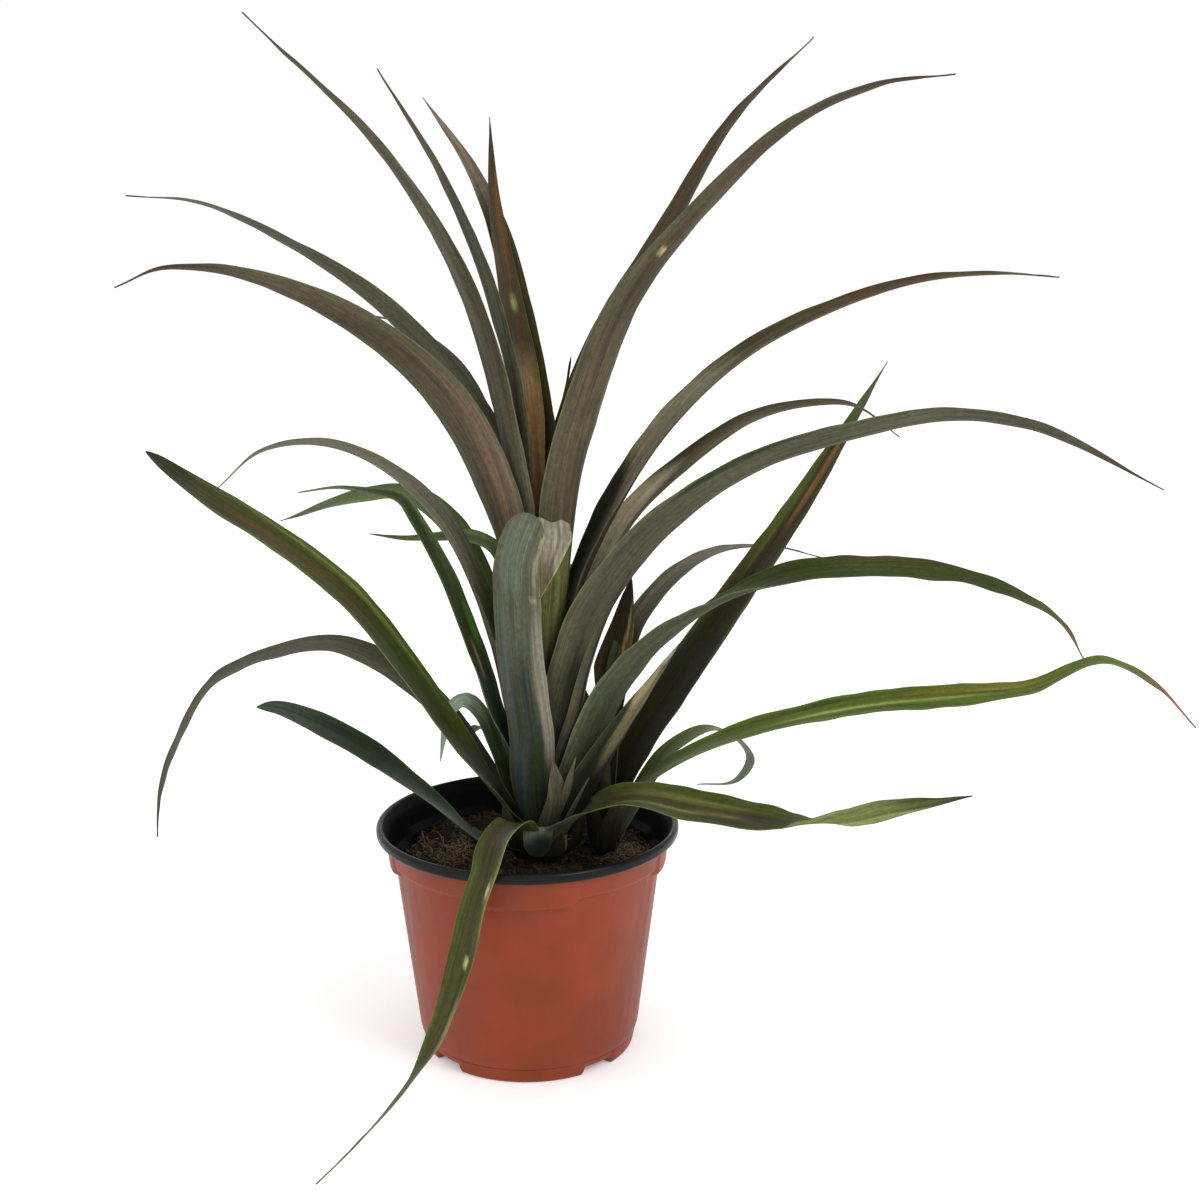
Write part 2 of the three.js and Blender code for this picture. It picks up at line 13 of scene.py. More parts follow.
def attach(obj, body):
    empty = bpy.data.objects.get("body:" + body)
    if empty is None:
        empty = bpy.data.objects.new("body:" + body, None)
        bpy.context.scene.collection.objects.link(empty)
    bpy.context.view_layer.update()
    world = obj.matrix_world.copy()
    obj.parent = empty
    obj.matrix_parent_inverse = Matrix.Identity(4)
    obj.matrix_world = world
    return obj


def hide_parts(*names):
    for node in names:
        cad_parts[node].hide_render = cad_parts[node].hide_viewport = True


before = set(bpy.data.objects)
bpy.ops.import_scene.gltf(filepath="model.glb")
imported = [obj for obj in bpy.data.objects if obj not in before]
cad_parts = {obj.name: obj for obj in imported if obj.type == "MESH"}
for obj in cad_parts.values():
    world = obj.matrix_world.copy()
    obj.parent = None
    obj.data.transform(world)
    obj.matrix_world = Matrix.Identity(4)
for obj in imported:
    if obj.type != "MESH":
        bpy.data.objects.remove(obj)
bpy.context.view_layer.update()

MM = 0.001
FLOOR = 6  # metres from the middle of the floor to its edge

# The pot, as in the frame.
POT_HEIGHT = 131
RIM_RADIUS = 85
FOOT_RADIUS = 58.5
CREASE_RADIUS = 61  # the foot band's top
CREASE_HEIGHT = 8.5
BARREL_RADIUS = 62.5  # the tapered wall starts here, a little above the crease
CREASE_ROUND = 4
WALL = 1.2
COLLAR_BOTTOM = 112
COLLAR_RADIUS = 78
SHOULDER_RADIUS = 74.2
COLLAR_FLARE = 1.8
LIP_HEIGHT = 6
LIP_WIDTH = 4
EDGE = 1.3  # the small rounds on the foot, the collar and the lip
REPEATS = 4  # stacking lugs and drain notches, evenly spaced
LUG_DROP = 4
LUG_HALF_ANGLE = 18
LUG_SLOPE = 6  # degrees over which a lug's edge rises to the collar's
LUG_PROUD = 0.6  # how far a lug stands out beyond the collar beside it
LUG_AZIMUTH = 270
NOTCH_RISE = 4
NOTCH_HALF_ANGLE = 9
NOTCH_SLOPE = 1.5
NOTCH_AZIMUTH = 222
NOTCH_RADIUS = 49
GROOVE = 0.35  # half the width of the crease line
POT_SIDES = 360
ROUND_STEPS = 4
LIP_CORNERS = 6  # the first corners of the inner outline, which are the lip's
SOIL_TOP = 112.5
SOIL_SHOULDER = 5  # the potting mix falls away to the wall by this much
SOIL_SLOPE = 7  # width of the ring over which it falls away
SOIL_GAP = 1.2  # from the mix to the wall
SOIL_FLOOR = 16  # the dressed layer of the mix reaches down to here
SOIL_RINGS = 90
SOIL_SIDES = 300
FIBRE_SIDES = 5
FIBRE_STEP = 1.1
SCATTER_MARGIN = 3  # bits on the mix keep this clear of the wall
FIBRE_MARGIN = 4  # a fibre turns back this far from the wall
STEM_SIDES = 48
STEM_STEP = 1.5
STEM_INSET = 0.2  # the stems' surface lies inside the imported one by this, but for the leaf scars
SCAR_RIDGE = 0.35
SCAR_RATE = 0.9  # radians of the scars' wave for each millimetre up the stem

# The two stems: place of each axis and [height, radius] up the stem.
STEMS = {
    "main": (8, -10, [(74, 9), (120, 9.5), (150, 8.5), (176, 7.4), (205, 6), (225, 4.4)]),
    "side": (43, -2, [(84, 6), (118, 6.6), (150, 4.6), (168, 3.2)]),
}

# Blade build-up.
BASE_THICKNESS = 1.5
TIP_THICKNESS = 0.7
MARGIN_THICKNESS = 0.4
CLASP = 0.85  # largest half-angle with which a leaf base clasps its stem, radians
GUTTER_REACH = 25  # the gutter is fully formed this far from the stem's axis
GUTTER_FLATTENING = 0.5  # share of the gutter that is lost by the tip
NECK = 0.8  # a blade's width at its base, as a share of the full width
NECK_END = 0.25  # share of the length over which the neck widens
THINNING = 1.4  # how fast the thickness falls to that of the tip
STATION_STEP = 3
ACROSS = 18  # strips across a blade
CURVE_SAMPLES = 601
BLUNT = 2  # from this tip width on a strap ends in a broad lobe, and no blade has a dry tip
STRAP = 4  # a blade with this tip power or more keeps its width and ends in a round tip
POINT_START = 0.97  # share of the length at which the last sharpening of a tapered tip starts
POINT_TAPER = 0.75  # share of the width that it takes away
STRAP_END = (0.35, 0.85)  # its round end's length in widths, and the share of the width lost on the way
LOBE_END = (0.4, 0.3)  # the same for a lobe
FEWEST_STATIONS = 12
TIP_STATIONS = np.geomspace(0.3, 6, 7)  # further stations, this far from the tip
TANGENT_STEP = 0.002
GRAIN_SHIFT = 37.7  # sets the veins and streaks of one blade apart from the next one's
FLUTTER = 0.5  # height of the margins' flutter, apart from these blades'
FLUTTERS = {"main_leaf_22": 1.6, "side_leaf_03": 1.2, "main_leaf_30": 1.0, "main_leaf_27": 0.9}
FLUTTER_LENGTH = 16
FLUTTER_START = (0.12, 0.3)  # shares of the length over which it sets in

# A leaf: its name, which starts with its stem's, azimuth in degrees, blade width, gutter half-angle
# in radians, look, and midrib as (reach from the stem's axis, height, sideways shift, roll in
# degrees), where a shift or a roll that is left out is 0. The tip power is 2 for a long taper and 9
# for a blunt strap. The tip width is what a taper keeps until its last sharpening.
Leaf = namedtuple("Leaf", "name azimuth width gutter look midrib tip_power tip_width", defaults=(2.2, 1.4))
LEAVES = [
    Leaf("main_leaf_01", 60, 9, 0.5, "spike", [(5.5, 226), (9, 290), (20, 345), (34, 389)]),
    Leaf("main_leaf_02", 186, 22, 0.6, "grey",
         [(6.3, 219), (7, 285), (10, 348, 0, -10), (24, 421, 0, -28), (48, 482, 0, -28),
          (80, 537, 0, -28)]),
    Leaf("main_leaf_03", 100, 22, 0.5, "bronze",
         [(6.8, 213), (7, 260, 1), (8, 325, 2), (13, 384, 6), (21, 425, 12), (33, 472, 18),
          (42, 515, 19)]),
    Leaf("main_leaf_04", 28, 26, 0.5, "bronze",
         [(7.2, 208), (8, 260), (14, 330, 0, -8), (35, 393, 0, -12), (74, 451, 0, -15),
          (118, 514, 0, -12), (170, 559)]),
    Leaf("main_leaf_05", 213, 26, 0.6, "grey",
         [(7.6, 204), (10, 270), (17, 333), (41, 422, 0, -5), (85, 492, 0, -4), (157, 557)]),
    Leaf("main_leaf_06", -38, 32, 0.6, "purple",
         [(7.9, 200), (14, 262, 0, 4), (20.5, 328, 0, 10), (34, 371, 0, 10), (60, 423, 0, 9),
          (103, 467, 0, 4), (153, 506, 0, 6), (199, 523, 0, 16), (236, 526, 0, 16)]),
    Leaf("main_leaf_07", 100, 25, 0.6, "dark",
         [(8.1, 196), (10, 260), (13, 324, -4), (17, 372, 1), (25, 414, 7), (36, 454, 15),
          (51, 490, 29), (70, 526, 52)]),
    Leaf("main_leaf_08", 160, 21, 0.6, "slate",
         [(8.3, 192), (12, 265), (22, 338, 0, 10), (45, 373, 0, 25), (92, 418, 0, 26),
          (151, 451, 0, 13), (201, 470, 0, 10), (249, 474)]),
    Leaf("main_leaf_09", 8, 29, 1.05, "sheen",
         [(8.5, 189), (14, 235), (24, 271, 0, -6), (44, 314, 0, -12), (71, 354, 0, -14),
          (109, 389, 0, -14), (152, 412, 0, -14), (204, 429, 0, -16), (251, 433, 0, -16), (285, 431)]),
    Leaf("main_leaf_10", 208, 30, 0.6, "purple",
         [(8.7, 186), (12, 240, 0, -8), (18, 290, 0, -22), (31, 334, 0, -38), (56, 376, 0, -48),
          (104, 415, 0, -46), (159, 438, 0, -34), (197, 441, 0, -28), (219, 433, 0, -20)]),
    Leaf("main_leaf_11", 90, 24, 0.6, "slate",
         [(8.9, 183), (16, 230), (37, 275), (80, 305), (130, 300), (165, 280)]),
    Leaf("main_leaf_12", 146, 22, 0.6, "slate",
         [(9, 180), (16, 250), (27, 320), (49, 377), (87, 403), (115, 408), (135, 404)]),
    Leaf("main_leaf_13", 22, 26, 0.95, "sheen",
         [(9.2, 177), (19, 222), (31, 262, 0, -6), (53, 301, 0, -10), (86, 329, 0, -12),
          (125, 352, 0, -12), (160, 359, 0, -14), (192, 357, 0, -20), (222, 338, 0, -20)]),
    Leaf("main_leaf_14", 178, 25, 1, "grey",
         [(9.4, 170), (18, 195), (24, 226, 0, 6), (34, 263, 0, 14), (56, 307, 0, 18), (90, 336, 0, 12),
          (120, 345, 0, 12), (150, 340, 0, 14), (173, 321, 0, 14)]),
    Leaf("main_leaf_15", -18, 29, 0.8, "grey",
         [(5.5, 165, -8, 55), (12, 185, -9, 50), (19, 214, -9, 45), (24, 233, -7, 42),
          (33, 257, -4, 40), (67, 302, 1, 36), (115, 337, 0, 32), (167, 357, 0, 34), (216, 368, 0, 36),
          (259, 364, 0, 42), (319, 337, 0, 42)]),
    Leaf("main_leaf_16", 150, 16, 0.6, "pale",
         [(9.6, 163), (13, 200), (15, 230), (18, 264), (28, 285, 0, 16), (45, 291, 0, 36),
          (65, 289, 0, 36), (89, 286, 0, 34), (114, 286, 0, 30)]),
    Leaf("main_leaf_17", 152, 22, 0.6, "pale",
         [(9.8, 158), (22, 215), (40, 270, 0, 10), (57, 297, 0, 18), (83, 311, 0, 22),
          (117, 308, 0, 40), (174, 289, 0, 40)], tip_power=3),
    Leaf("main_leaf_18", 190, 21, 0.7, "olive",
         [(9.9, 152), (18, 178, 0, 14), (27, 200, 0, 26), (33, 222, 0, 30), (39, 240, 0, 33),
          (51, 275, 0, 36), (68, 309, 0, 38), (73, 317, 0, 36), (78, 320, 0, 30), (93, 323, 0, 20),
          (107, 325, 0, 14), (127, 323, 0, 10)]),
    Leaf("main_leaf_19", -40, 14, 0.8, "slate",
         [(10, 150), (17, 176), (26, 200), (34, 228), (46, 256), (64, 286)]),
    Leaf("main_leaf_20", 80, 22, 0.6, "slate",
         [(10.1, 148), (22, 200), (52, 240), (95, 258), (140, 245), (170, 220)]),
    Leaf("main_leaf_21", 258, 27, 0.75, "grey",
         [(10.2, 132, -2), (20, 164, -1), (24, 188), (28, 212, -2), (31, 235, -4), (34, 262, -4.5),
          (36, 285, -4), (36, 297, -1.5), (36, 309, 3), (36, 314, 5)], tip_power=9, tip_width=8),
    Leaf("main_leaf_22", -12, 31, 0.9, "green",
         [(7, 130, -8, 50), (17, 147, -9, 48), (28, 174, -8, 44), (39, 202, -6, 38), (53, 224, -3, 32),
          (69, 241, -1, 24), (99, 263, 0, 4), (141, 280, 0, -22), (202, 285, 0, -30),
          (243, 278, 0, -28), (274, 262, 0, -24), (288, 241, 0, -10)]),
    Leaf("main_leaf_23", 98, 22, 0.6, "slate",
         [(10.4, 138), (24, 185), (57, 222), (100, 235), (145, 215), (170, 190)]),
    Leaf("main_leaf_24", 172, 16, 0.6, "pale",
         [(10.5, 136), (22, 163, 0, 16), (33, 193, 0, 24), (42, 202, 0, 40), (50, 197, 0, 56),
          (54, 184, 0, 64), (57, 166, 0, 66)]),
    Leaf("main_leaf_33", 285, 19, 0.7, "taupe",
         [(10.8, 118), (17, 131, 1), (22, 145, 3), (25, 155, 3.5), (27, 166, 2), (28, 179)]),
    Leaf("main_leaf_34", 307, 12, 0.7, "taupe",
         [(11, 121, -3), (20, 139), (24, 150), (29, 163, -2), (34, 180, -1)]),
    Leaf("main_leaf_35", 312, 6, 0.7, "taupe",
         [(14, 121, -4), (20, 131, -4), (26, 142, -3), (32, 154, -2), (40, 169)]),
    Leaf("main_leaf_25", -28, 23, 0.8, "shade",
         [(10, 124, -8, 40), (21, 140, -8, 36), (34, 166, -5, 30), (56, 203, -2, 26),
          (84, 246, 0, 20)]),
    Leaf("main_leaf_26", 197, 25, 0.6, "striped",
         [(10.7, 130), (24, 149, 0, 8), (51, 190, 0, 32), (77, 231, 0, 35), (103, 267, 0, 34),
          (138, 299, 0, 30), (177, 328, 0, 34), (203, 350, 0, 38)], tip_power=8),
    Leaf("main_leaf_27", 166, 22, 0.6, "slate",
         [(10.8, 127), (22, 144), (38, 168, 0, 8), (60, 195, 0, 16), (89, 217, 0, 22),
          (121, 227, 0, 18), (157, 220, 0, 20), (194, 202, 0, 28), (217, 170, 0, 44), (233, 132, 0, 60),
          (237, 103, 0, 60)]),
    Leaf("main_leaf_28", 84, 24, 0.6, "olive",
         [(10.9, 125), (26, 150), (60, 175), (105, 170), (140, 140), (160, 105)]),
    Leaf("main_leaf_29", 112, 22, 0.6, "shade",
         [(11, 122), (26, 143), (55, 160), (90, 163), (125, 150), (150, 132)]),
    Leaf("main_leaf_30", -32, 31, 0.5, "striped",
         [(10, 117, -10, 20), (18, 131, -10, 10), (28, 143, -7, -6), (41, 152, -4, -14),
          (64, 159, -1, -8), (100, 159, 0, -16), (136, 160, 0, -16), (152, 161, 0, -4),
          (165, 164, 0, 14), (186, 170, 0, 48), (207, 179, 0, 62), (249, 194, 0, 62)], tip_power=2.6),
    Leaf("main_leaf_31", 208, 22, 0.5, "deep",
         [(11.2, 117), (24, 123), (40, 130, 0, 10), (64, 155, 0, 20), (105, 192, 0, 34),
          (148, 219, 0, 34), (160, 222, 0, 34)], tip_power=7),
    Leaf("main_leaf_32", 242, 22, 0.5, "striped",
         [(11.4, 117), (20, 131, 2), (40, 146, 6, -5), (65, 143, 9, -12), (79, 134, 13, -15),
          (88, 118, 11, -14), (95, 88, 6), (108, 54, 0, -10), (126, 30, -7, -42), (160, 11, -16, -50),
          (190, 4, -19, -50)], tip_power=1.8),
    Leaf("main_leaf_36", 268, 18, 0.7, "hood",
         [(13, 118, 1), (17, 131, 1), (22, 138), (27, 137.5), (31, 132),
          (33, 125)], tip_power=4, tip_width=8),
    Leaf("main_leaf_37", 312, 8, 0.7, "dry",
         [(12, 117), (16, 119), (19, 124), (20, 131)], tip_power=3, tip_width=4),
    Leaf("main_leaf_38", 225, 15, 0.7, "shade",
         [(13, 115, -4), (18, 124, -3), (22, 136, -3), (25, 151, -4)], tip_power=2.6),
    Leaf("main_leaf_39", 280, 14, 0.7, "shade",
         [(13, 114, 1.6), (18, 121, 4), (21, 130, 5), (23, 141, 7)], tip_power=2.6),
    Leaf("main_leaf_40", 330, 15, 0.7, "shade",
         [(12, 115, 6), (18, 121, 8), (22, 135, 8), (25, 149, 6)], tip_power=2.6),
    Leaf("side_leaf_01", 55, 31, 0.55, "spike",
         [(4.4, 168), (6, 192, 2), (14, 215, 3), (22, 240, 2), (27, 268)]),
    Leaf("side_leaf_02", 48, 19, 0.7, "slate",
         [(6, 150), (11, 200), (22, 234), (52, 258), (92, 270), (151, 266), (209, 250)]),
    Leaf("side_leaf_03", -8, 26, 0.6, "fresh",
         [(7.4, 132), (23, 153), (48, 171), (86, 188, 0, -8), (140, 203, 0, -18), (193, 211, 0, -30),
          (230, 217, 0, -16), (266, 234, 0, -12), (293, 223, 0, -24), (317, 199, 0, -24)]),
    Leaf("side_leaf_04", 38, 30, 0.7, "dark",
         [(7.8, 126), (14, 152, 0, -8), (26, 173, 0, -12), (46, 194, 0, -12), (97, 245, 0, -12),
          (147, 295, 0, -14), (187, 340, 0, -10), (218, 376)]),
    Leaf("side_leaf_05", 110, 18, 0.6, "shade",
         [(7.8, 122), (20, 160), (45, 190), (85, 200), (120, 185)]),
    Leaf("side_leaf_06", 30, 18, 0.5, "fresh",
         [(8, 117), (15, 130), (26, 146), (43, 165), (71, 174), (90, 164), (99, 151), (89, 140),
          (62, 142)]),
    Leaf("side_leaf_07", 240, 13, 0.7, "shade", [(8.2, 117), (11, 130), (14, 148)], tip_power=3),
    Leaf("side_leaf_08", -60, 16, 0.8, "shade",
         [(7.8, 115, -2), (10, 126, -1), (13, 140, 1), (16, 156, 3)], tip_power=2.6),
]

# Looks of a blade, as sRGB colours: the middle and the edges of the upper side, the middle and the
# edges of the lower side, and the tip.
Look = namedtuple("Look", "upper upper_edge lower lower_edge tip")
LOOKS = {
    "spike": Look((76, 62, 34), (92, 80, 42), (76, 60, 34), (96, 84, 46), (46, 32, 22)),
    "grey": Look((66, 68, 42), (72, 78, 48), (82, 81, 63), (84, 84, 64), (72, 60, 44)),
    "purple": Look((62, 55, 34), (66, 62, 38), (80, 71, 54), (82, 80, 60), (64, 50, 38)),
    # the "sheen" look carries painted sheen: the middle of its upper side is lighter than its edges
    "sheen": Look((66, 60, 36), (60, 58, 34), (88, 80, 60), (92, 88, 68), (54, 42, 24)),
    "slate": Look((68, 67, 49), (72, 72, 52), (68, 68, 52), (74, 74, 56), (56, 50, 38)),
    "bronze": Look((60, 49, 25), (58, 52, 28), (62, 50, 28), (66, 58, 34), (54, 44, 20)),
    "dark": Look((46, 38, 14), (58, 58, 22), (52, 46, 20), (60, 58, 28), (84, 76, 46)),
    "green": Look((50, 60, 14), (54, 66, 18), (68, 72, 52), (78, 82, 62), (92, 80, 54)),
    "deep": Look((26, 38, 18), (34, 48, 24), (40, 48, 32), (48, 58, 38), (56, 66, 54)),
    "fresh": Look((82, 98, 22), (84, 102, 28), (84, 98, 50), (92, 106, 54), (116, 84, 54)),
    "striped": Look((58, 58, 20), (68, 78, 26), (96, 104, 56), (106, 118, 64), (60, 56, 32)),
    "olive": Look((58, 66, 38), (78, 92, 52), (66, 72, 50), (74, 82, 58), (88, 96, 64)),
    "pale": Look((84, 96, 54), (90, 104, 60), (90, 102, 68), (98, 110, 76), (80, 86, 58)),
    "hood": Look((66, 74, 58), (74, 84, 62), (60, 66, 50), (66, 74, 56), (60, 66, 52)),
    "taupe": Look((76, 78, 62), (84, 84, 66), (72, 76, 59), (82, 84, 66), (98, 94, 76)),
    # the "shade" look is painted shade: near-black for leaves and sheaths that stand in shadow low in the
    # rosette
    "shade": Look((24, 28, 14), (34, 40, 20), (30, 34, 20), (42, 46, 28), (64, 62, 42)),
    "dry": Look((132, 118, 94), (146, 132, 106), (150, 136, 112), (160, 146, 120), (126, 108, 84)),
}

# Patches of colour on blades: side (1 upper, -1 lower, 0 both), place along and across the blade,
# half length and half width in millimetres, sRGB colour, strength, and the share of the patch that
# has its full colour, usually 0.4.
Mark = namedtuple("Mark", "side along across length width colour strength core", defaults=(0.4,))
MARK_ROWS = {
    "main_leaf_02": [
        (-1, 150, -7, 75, 4, (36, 38, 20), 0.85, 0.5),
        (-1, 230, 3, 80, 2, (106, 108, 92), 0.6, 0.3),
    ],
    "main_leaf_03": [
        (0, 130, -2, 60, 14, (160, 132, 86), 0.85, 0.5),
        (0, 135, -2.5, 40, 2, (156, 100, 52), 0.8, 0.3),
        (0, 150, 2, 50, 1.6, (116, 120, 96), 0.7),
        (0, 252, -2, 42, 2, (104, 62, 24), 0.8),
        (0, 207, -1, 6, 2.4, (126, 132, 76), 0.9, 0.3),
    ],
    "main_leaf_05": [
        (-1, 210, 8, 90, 4, (54, 48, 32), 0.75),
        (-1, 120, -6, 90, 6, (98, 100, 84), 0.7),
    ],
    "main_leaf_06": [
        (-1, 64, 0, 40, 16, (98, 104, 56), 0.9, 0.6),
        (-1, 90, 12, 36, 3, (124, 124, 92), 0.7),
        (-1, 158, 13, 80, 3, (108, 104, 80), 0.6, 0.3),
        (-1, 230, -2, 90, 3, (58, 50, 38), 0.55, 0.3),
        (-1, 158, 4, 10, 6, (98, 90, 72), 0.6, 0.5),
        (-1, 264, -3, 15, 6, (80, 78, 38), 0.6, 0.2),
        (-1, 266, -2.7, 5, 1.5, (206, 194, 136), 0.95, 0.5),
    ],
    "main_leaf_07": [(0, 325, 0, 60, 14, (108, 96, 80), 0.95, 0.5)],
    "main_leaf_08": [(0, 120, 0, 70, 5, (88, 90, 68), 0.6)],
    "main_leaf_09": [
        (-1, 112, -8, 48, 7, (38, 38, 16), 0.9, 0.6),
        (-1, 190, -4, 45, 9, (124, 112, 86), 0.8),
        # painted sheen: a pale patch in the middle of the upper side
        (1, 175, 4, 70, 12, (122, 114, 92), 0.8, 0.5),
        (1, 95, 11, 68, 11, (24, 30, 10), 0.95, 0.7),
        (0, 320, 0, 80, 12, (66, 46, 24), 0.7, 0.5),
        (0, 316, -5, 4, 1.4, (226, 210, 166), 0.95, 0.5),
    ],
    "main_leaf_10": [
        (-1, 150, 7, 75, 7, (102, 84, 68), 0.8),
        (-1, 140, -12, 70, 5, (82, 88, 74), 0.8),
    ],
    "main_leaf_13": [
        # painted sheen: a bright cream patch on the upper side
        (1, 118, 5, 66, 10, (160, 150, 122), 0.95, 0.6),
        (1, 185, 10, 40, 5, (50, 42, 26), 0.75),
        (1, 205, -4, 50, 7, (104, 94, 72), 0.6),
    ],
    "main_leaf_14": [
        (0, 200, 0, 130, 16, (104, 102, 84), 0.9, 0.6),
        (1, 110, 7, 60, 4, (34, 38, 26), 0.8),
    ],
    "main_leaf_15": [
        (-1, 35, 0, 45, 16, (58, 62, 42), 0.7, 0.5),
        (-1, 205, -10, 45, 2.6, (46, 60, 28), 0.9, 0.5),
        (-1, 90, 8, 60, 3, (52, 52, 38), 0.6, 0.3),
    ],
    "main_leaf_18": [
        (0, 45, 0, 50, 14, (76, 96, 82), 0.7, 0.5),
        (1, 100, -6, 22, 2.5, (86, 136, 50), 0.85),
        (1, 80, -2, 16, 1.4, (176, 142, 88), 0.85),
        (1, 150, 0, 60, 4, (46, 54, 28), 0.6),
    ],
    "main_leaf_19": [
        (0, 75, 3, 70, 1, (150, 150, 130), 0.9, 0.5),
        (0, 75, 0.5, 70, 1, (22, 22, 16), 0.8, 0.5),
    ],
    "main_leaf_21": [
        (-1, 55, 0, 80, 18, (52, 58, 44), 0.85),
        (-1, 130, -2, 40, 14, (76, 82, 68), 0.6, 0.5),
        (-1, 88, 10.5, 56, 4.5, (128, 124, 108), 0.9, 0.6),
        (-1, 66, 2, 60, 5, (48, 54, 46), 0.75),
        (-1, 90, -9, 75, 4, (88, 96, 90), 0.6),
        (-1, 165, -2, 30, 12, (96, 106, 90), 0.75, 0.5),
        (-1, 40, 4, 34, 6, (38, 54, 18), 0.85, 0.3),
        (-1, 30, -6, 40, 5, (66, 78, 76), 0.8),
        (-1, 163, 10.4, 28, 1.2, (150, 152, 112), 0.85, 0.5),
        (-1, 138, 9.5, 4, 1.6, (156, 140, 116), 0.9),
    ],
    "main_leaf_22": [
        (1, 270, 8, 70, 4, (70, 58, 36), 0.7, 0.3),
        (-1, 125, 0, 60, 12, (88, 90, 72), 0.7, 0.5),
    ],
    "main_leaf_24": [(0, 95, 0, 45, 12, (150, 164, 140), 0.9, 0.5)],
    "main_leaf_25": [
        (-1, 92, 1, 46, 6, (112, 104, 74), 0.85, 0.5),
        (-1, 115, -3, 22, 3.5, (140, 128, 92), 0.9, 0.5),
        (-1, 136, -1, 10, 2, (150, 150, 130), 0.8),
    ],
    "main_leaf_26": [
        (1, 215, 1, 50, 3, (82, 56, 30), 0.7, 0.3),
        (1, 105, 0, 55, 14, (46, 54, 20), 0.8, 0.5),
        (1, 290, 0, 30, 14, (36, 42, 18), 0.8, 0.5),
        (0, 35, 0, 40, 16, (62, 66, 50), 0.7, 0.5),
        (1, 160, -9, 100, 1.6, (112, 126, 60), 0.6),
        (1, 150, -1, 2, 0.9, (190, 190, 120), 0.9),
    ],
    "main_leaf_30": [
        (0, 22, 0, 34, 18, (98, 104, 82), 0.8, 0.5),
        (1, 100, 6, 60, 3, (112, 116, 52), 0.7, 0.3),
        (1, 65, -8, 40, 3, (64, 84, 24), 0.7, 0.3),
        (1, 120, -2, 24, 2.5, (126, 100, 66), 0.7, 0.3),
        (1, 85, -5, 34, 2, (118, 118, 64), 0.8),
        (1, 150, 0, 26, 6, (48, 48, 38), 0.8),
        (-1, 215, -1, 60, 1.2, (82, 94, 44), 0.6),
        (-1, 205, 4, 60, 3, (134, 146, 88), 0.7),
    ],
    "main_leaf_32": [
        (1, 134, 3.4, 5, 1.3, (206, 194, 134), 0.9),
        (1, 95, 6.5, 7, 1, (216, 208, 164), 0.9),
        (1, 172, 6, 26, 2.6, (128, 126, 88), 0.75),
        (1, 115, 8.5, 70, 1.2, (128, 118, 62), 0.7),
    ],
    "main_leaf_36": [
        # a pale top, and near-black painted shade on the hood's lower part, which lies in shadow
        (0, 24, -2, 8, 9, (150, 156, 138), 0.85),
        (0, 41, 2, 13, 16, (16, 22, 12), 1, 0.6),
    ],
    "side_leaf_01": [
        (1, 56, 0, 60, 20, (52, 44, 28), 0.8, 0.7),
        (1, 60, -9, 34, 5, (118, 98, 44), 0.85, 0.5),
        (1, 70, -4, 24, 1.2, (196, 164, 96), 0.9),
        (0, 104, 0, 20, 6, (44, 32, 24), 0.9),
    ],
    "side_leaf_02": [(1, 150, 3, 60, 4, (96, 86, 68), 0.7)],
    "side_leaf_03": [
        (1, 165, 0, 70, 1.5, (150, 160, 84), 0.8),
        (1, 215, 5, 60, 3, (112, 104, 34), 0.7),
        (1, 150, -4, 80, 2, (48, 62, 20), 0.75),
        (1, 120, 8, 60, 1.6, (54, 68, 26), 0.7),
        (1, 235, 3, 45, 1.6, (116, 104, 46), 0.7),
        (1, 250, -3, 40, 2, (58, 60, 20), 0.6, 0.3),
        (0, 338, 0, 20, 6, (150, 96, 84), 0.9),
    ],
    "side_leaf_04": [
        (1, 85, 0, 75, 18, (27, 29, 11), 0.85, 0.6),
        (1, 250, -1, 60, 3, (120, 88, 42), 0.8, 0.3),
        (1, 235, 6, 90, 4, (70, 82, 26), 0.8),
        (1, 190, -12, 110, 2.4, (76, 98, 36), 0.75),
        (1, 300, 0, 30, 10, (72, 90, 40), 0.8),
    ],
    "side_leaf_06": [
        (0, 150, 0, 62, 12, (132, 142, 120), 0.9, 0.7),
        (1, 80, 5, 24, 2, (96, 86, 60), 0.7, 0.3),
    ],
}
MARKS = {name: [Mark(*row) for row in rows] for name, rows in MARK_ROWS.items()}

DRY_TIP = (55, 6)  # the tip's own colour sets in and is full this far from the end
PALE_MARGIN = (132, 138, 96)
FOOT_PAINTED_SHADE = 0.6  # painted shade: the blades' feet, deep in the rosette, are darker by this share
FOOT_REACH = 85

# The torn half of the broken leaf. Its left and right sides are given as share of the way down,
# reach from the stem's axis, height and sideways shift.
FLAP_LEAF = "main_leaf_21"
FLAP_LEFT = [(0, 33, 311, 7), (0.3, 33, 296, 7.4), (0.65, 32.5, 282, 6.2), (1, 32, 269, 6.6)]
FLAP_RIGHT = [(0, 24.5, 308, 22.5), (0.2, 24.5, 300, 24.2), (0.6, 28.4, 284, 16.9), (1, 31.6, 268, 8)]
FLAP_THICKNESS = 0.7
FLAP_COLUMNS = 24
FLAP_ROWS = 20
FLAP_BULGE = 1.2  # the sheet's middle leans in to the stem by this at the top
FLAP_FOLD = 0.9  # depth of its folds
FLAP_WAVE = 1.1  # height of the waves of its torn top edge
FLAP_GRAIN = 11.3  # sets its streaks apart, as for the blades
FLAP_TAUPE = (124, 120, 104)
FLAP_OLIVE = (84, 76, 44)
FLAP_EDGE = (150, 156, 104)


def linear(colour):
    """sRGB from 0 to 255 as linear values."""
    value = np.asarray(colour, float) / 255
    return np.where(value <= 0.04045, value / 12.92, ((value + 0.055) / 1.055) ** 2.4)


def smoothstep(value, low, high):
    share = np.clip((value - low) / (high - low), 0, 1)
    return share * share * (3 - 2 * share)


# ---- Materials


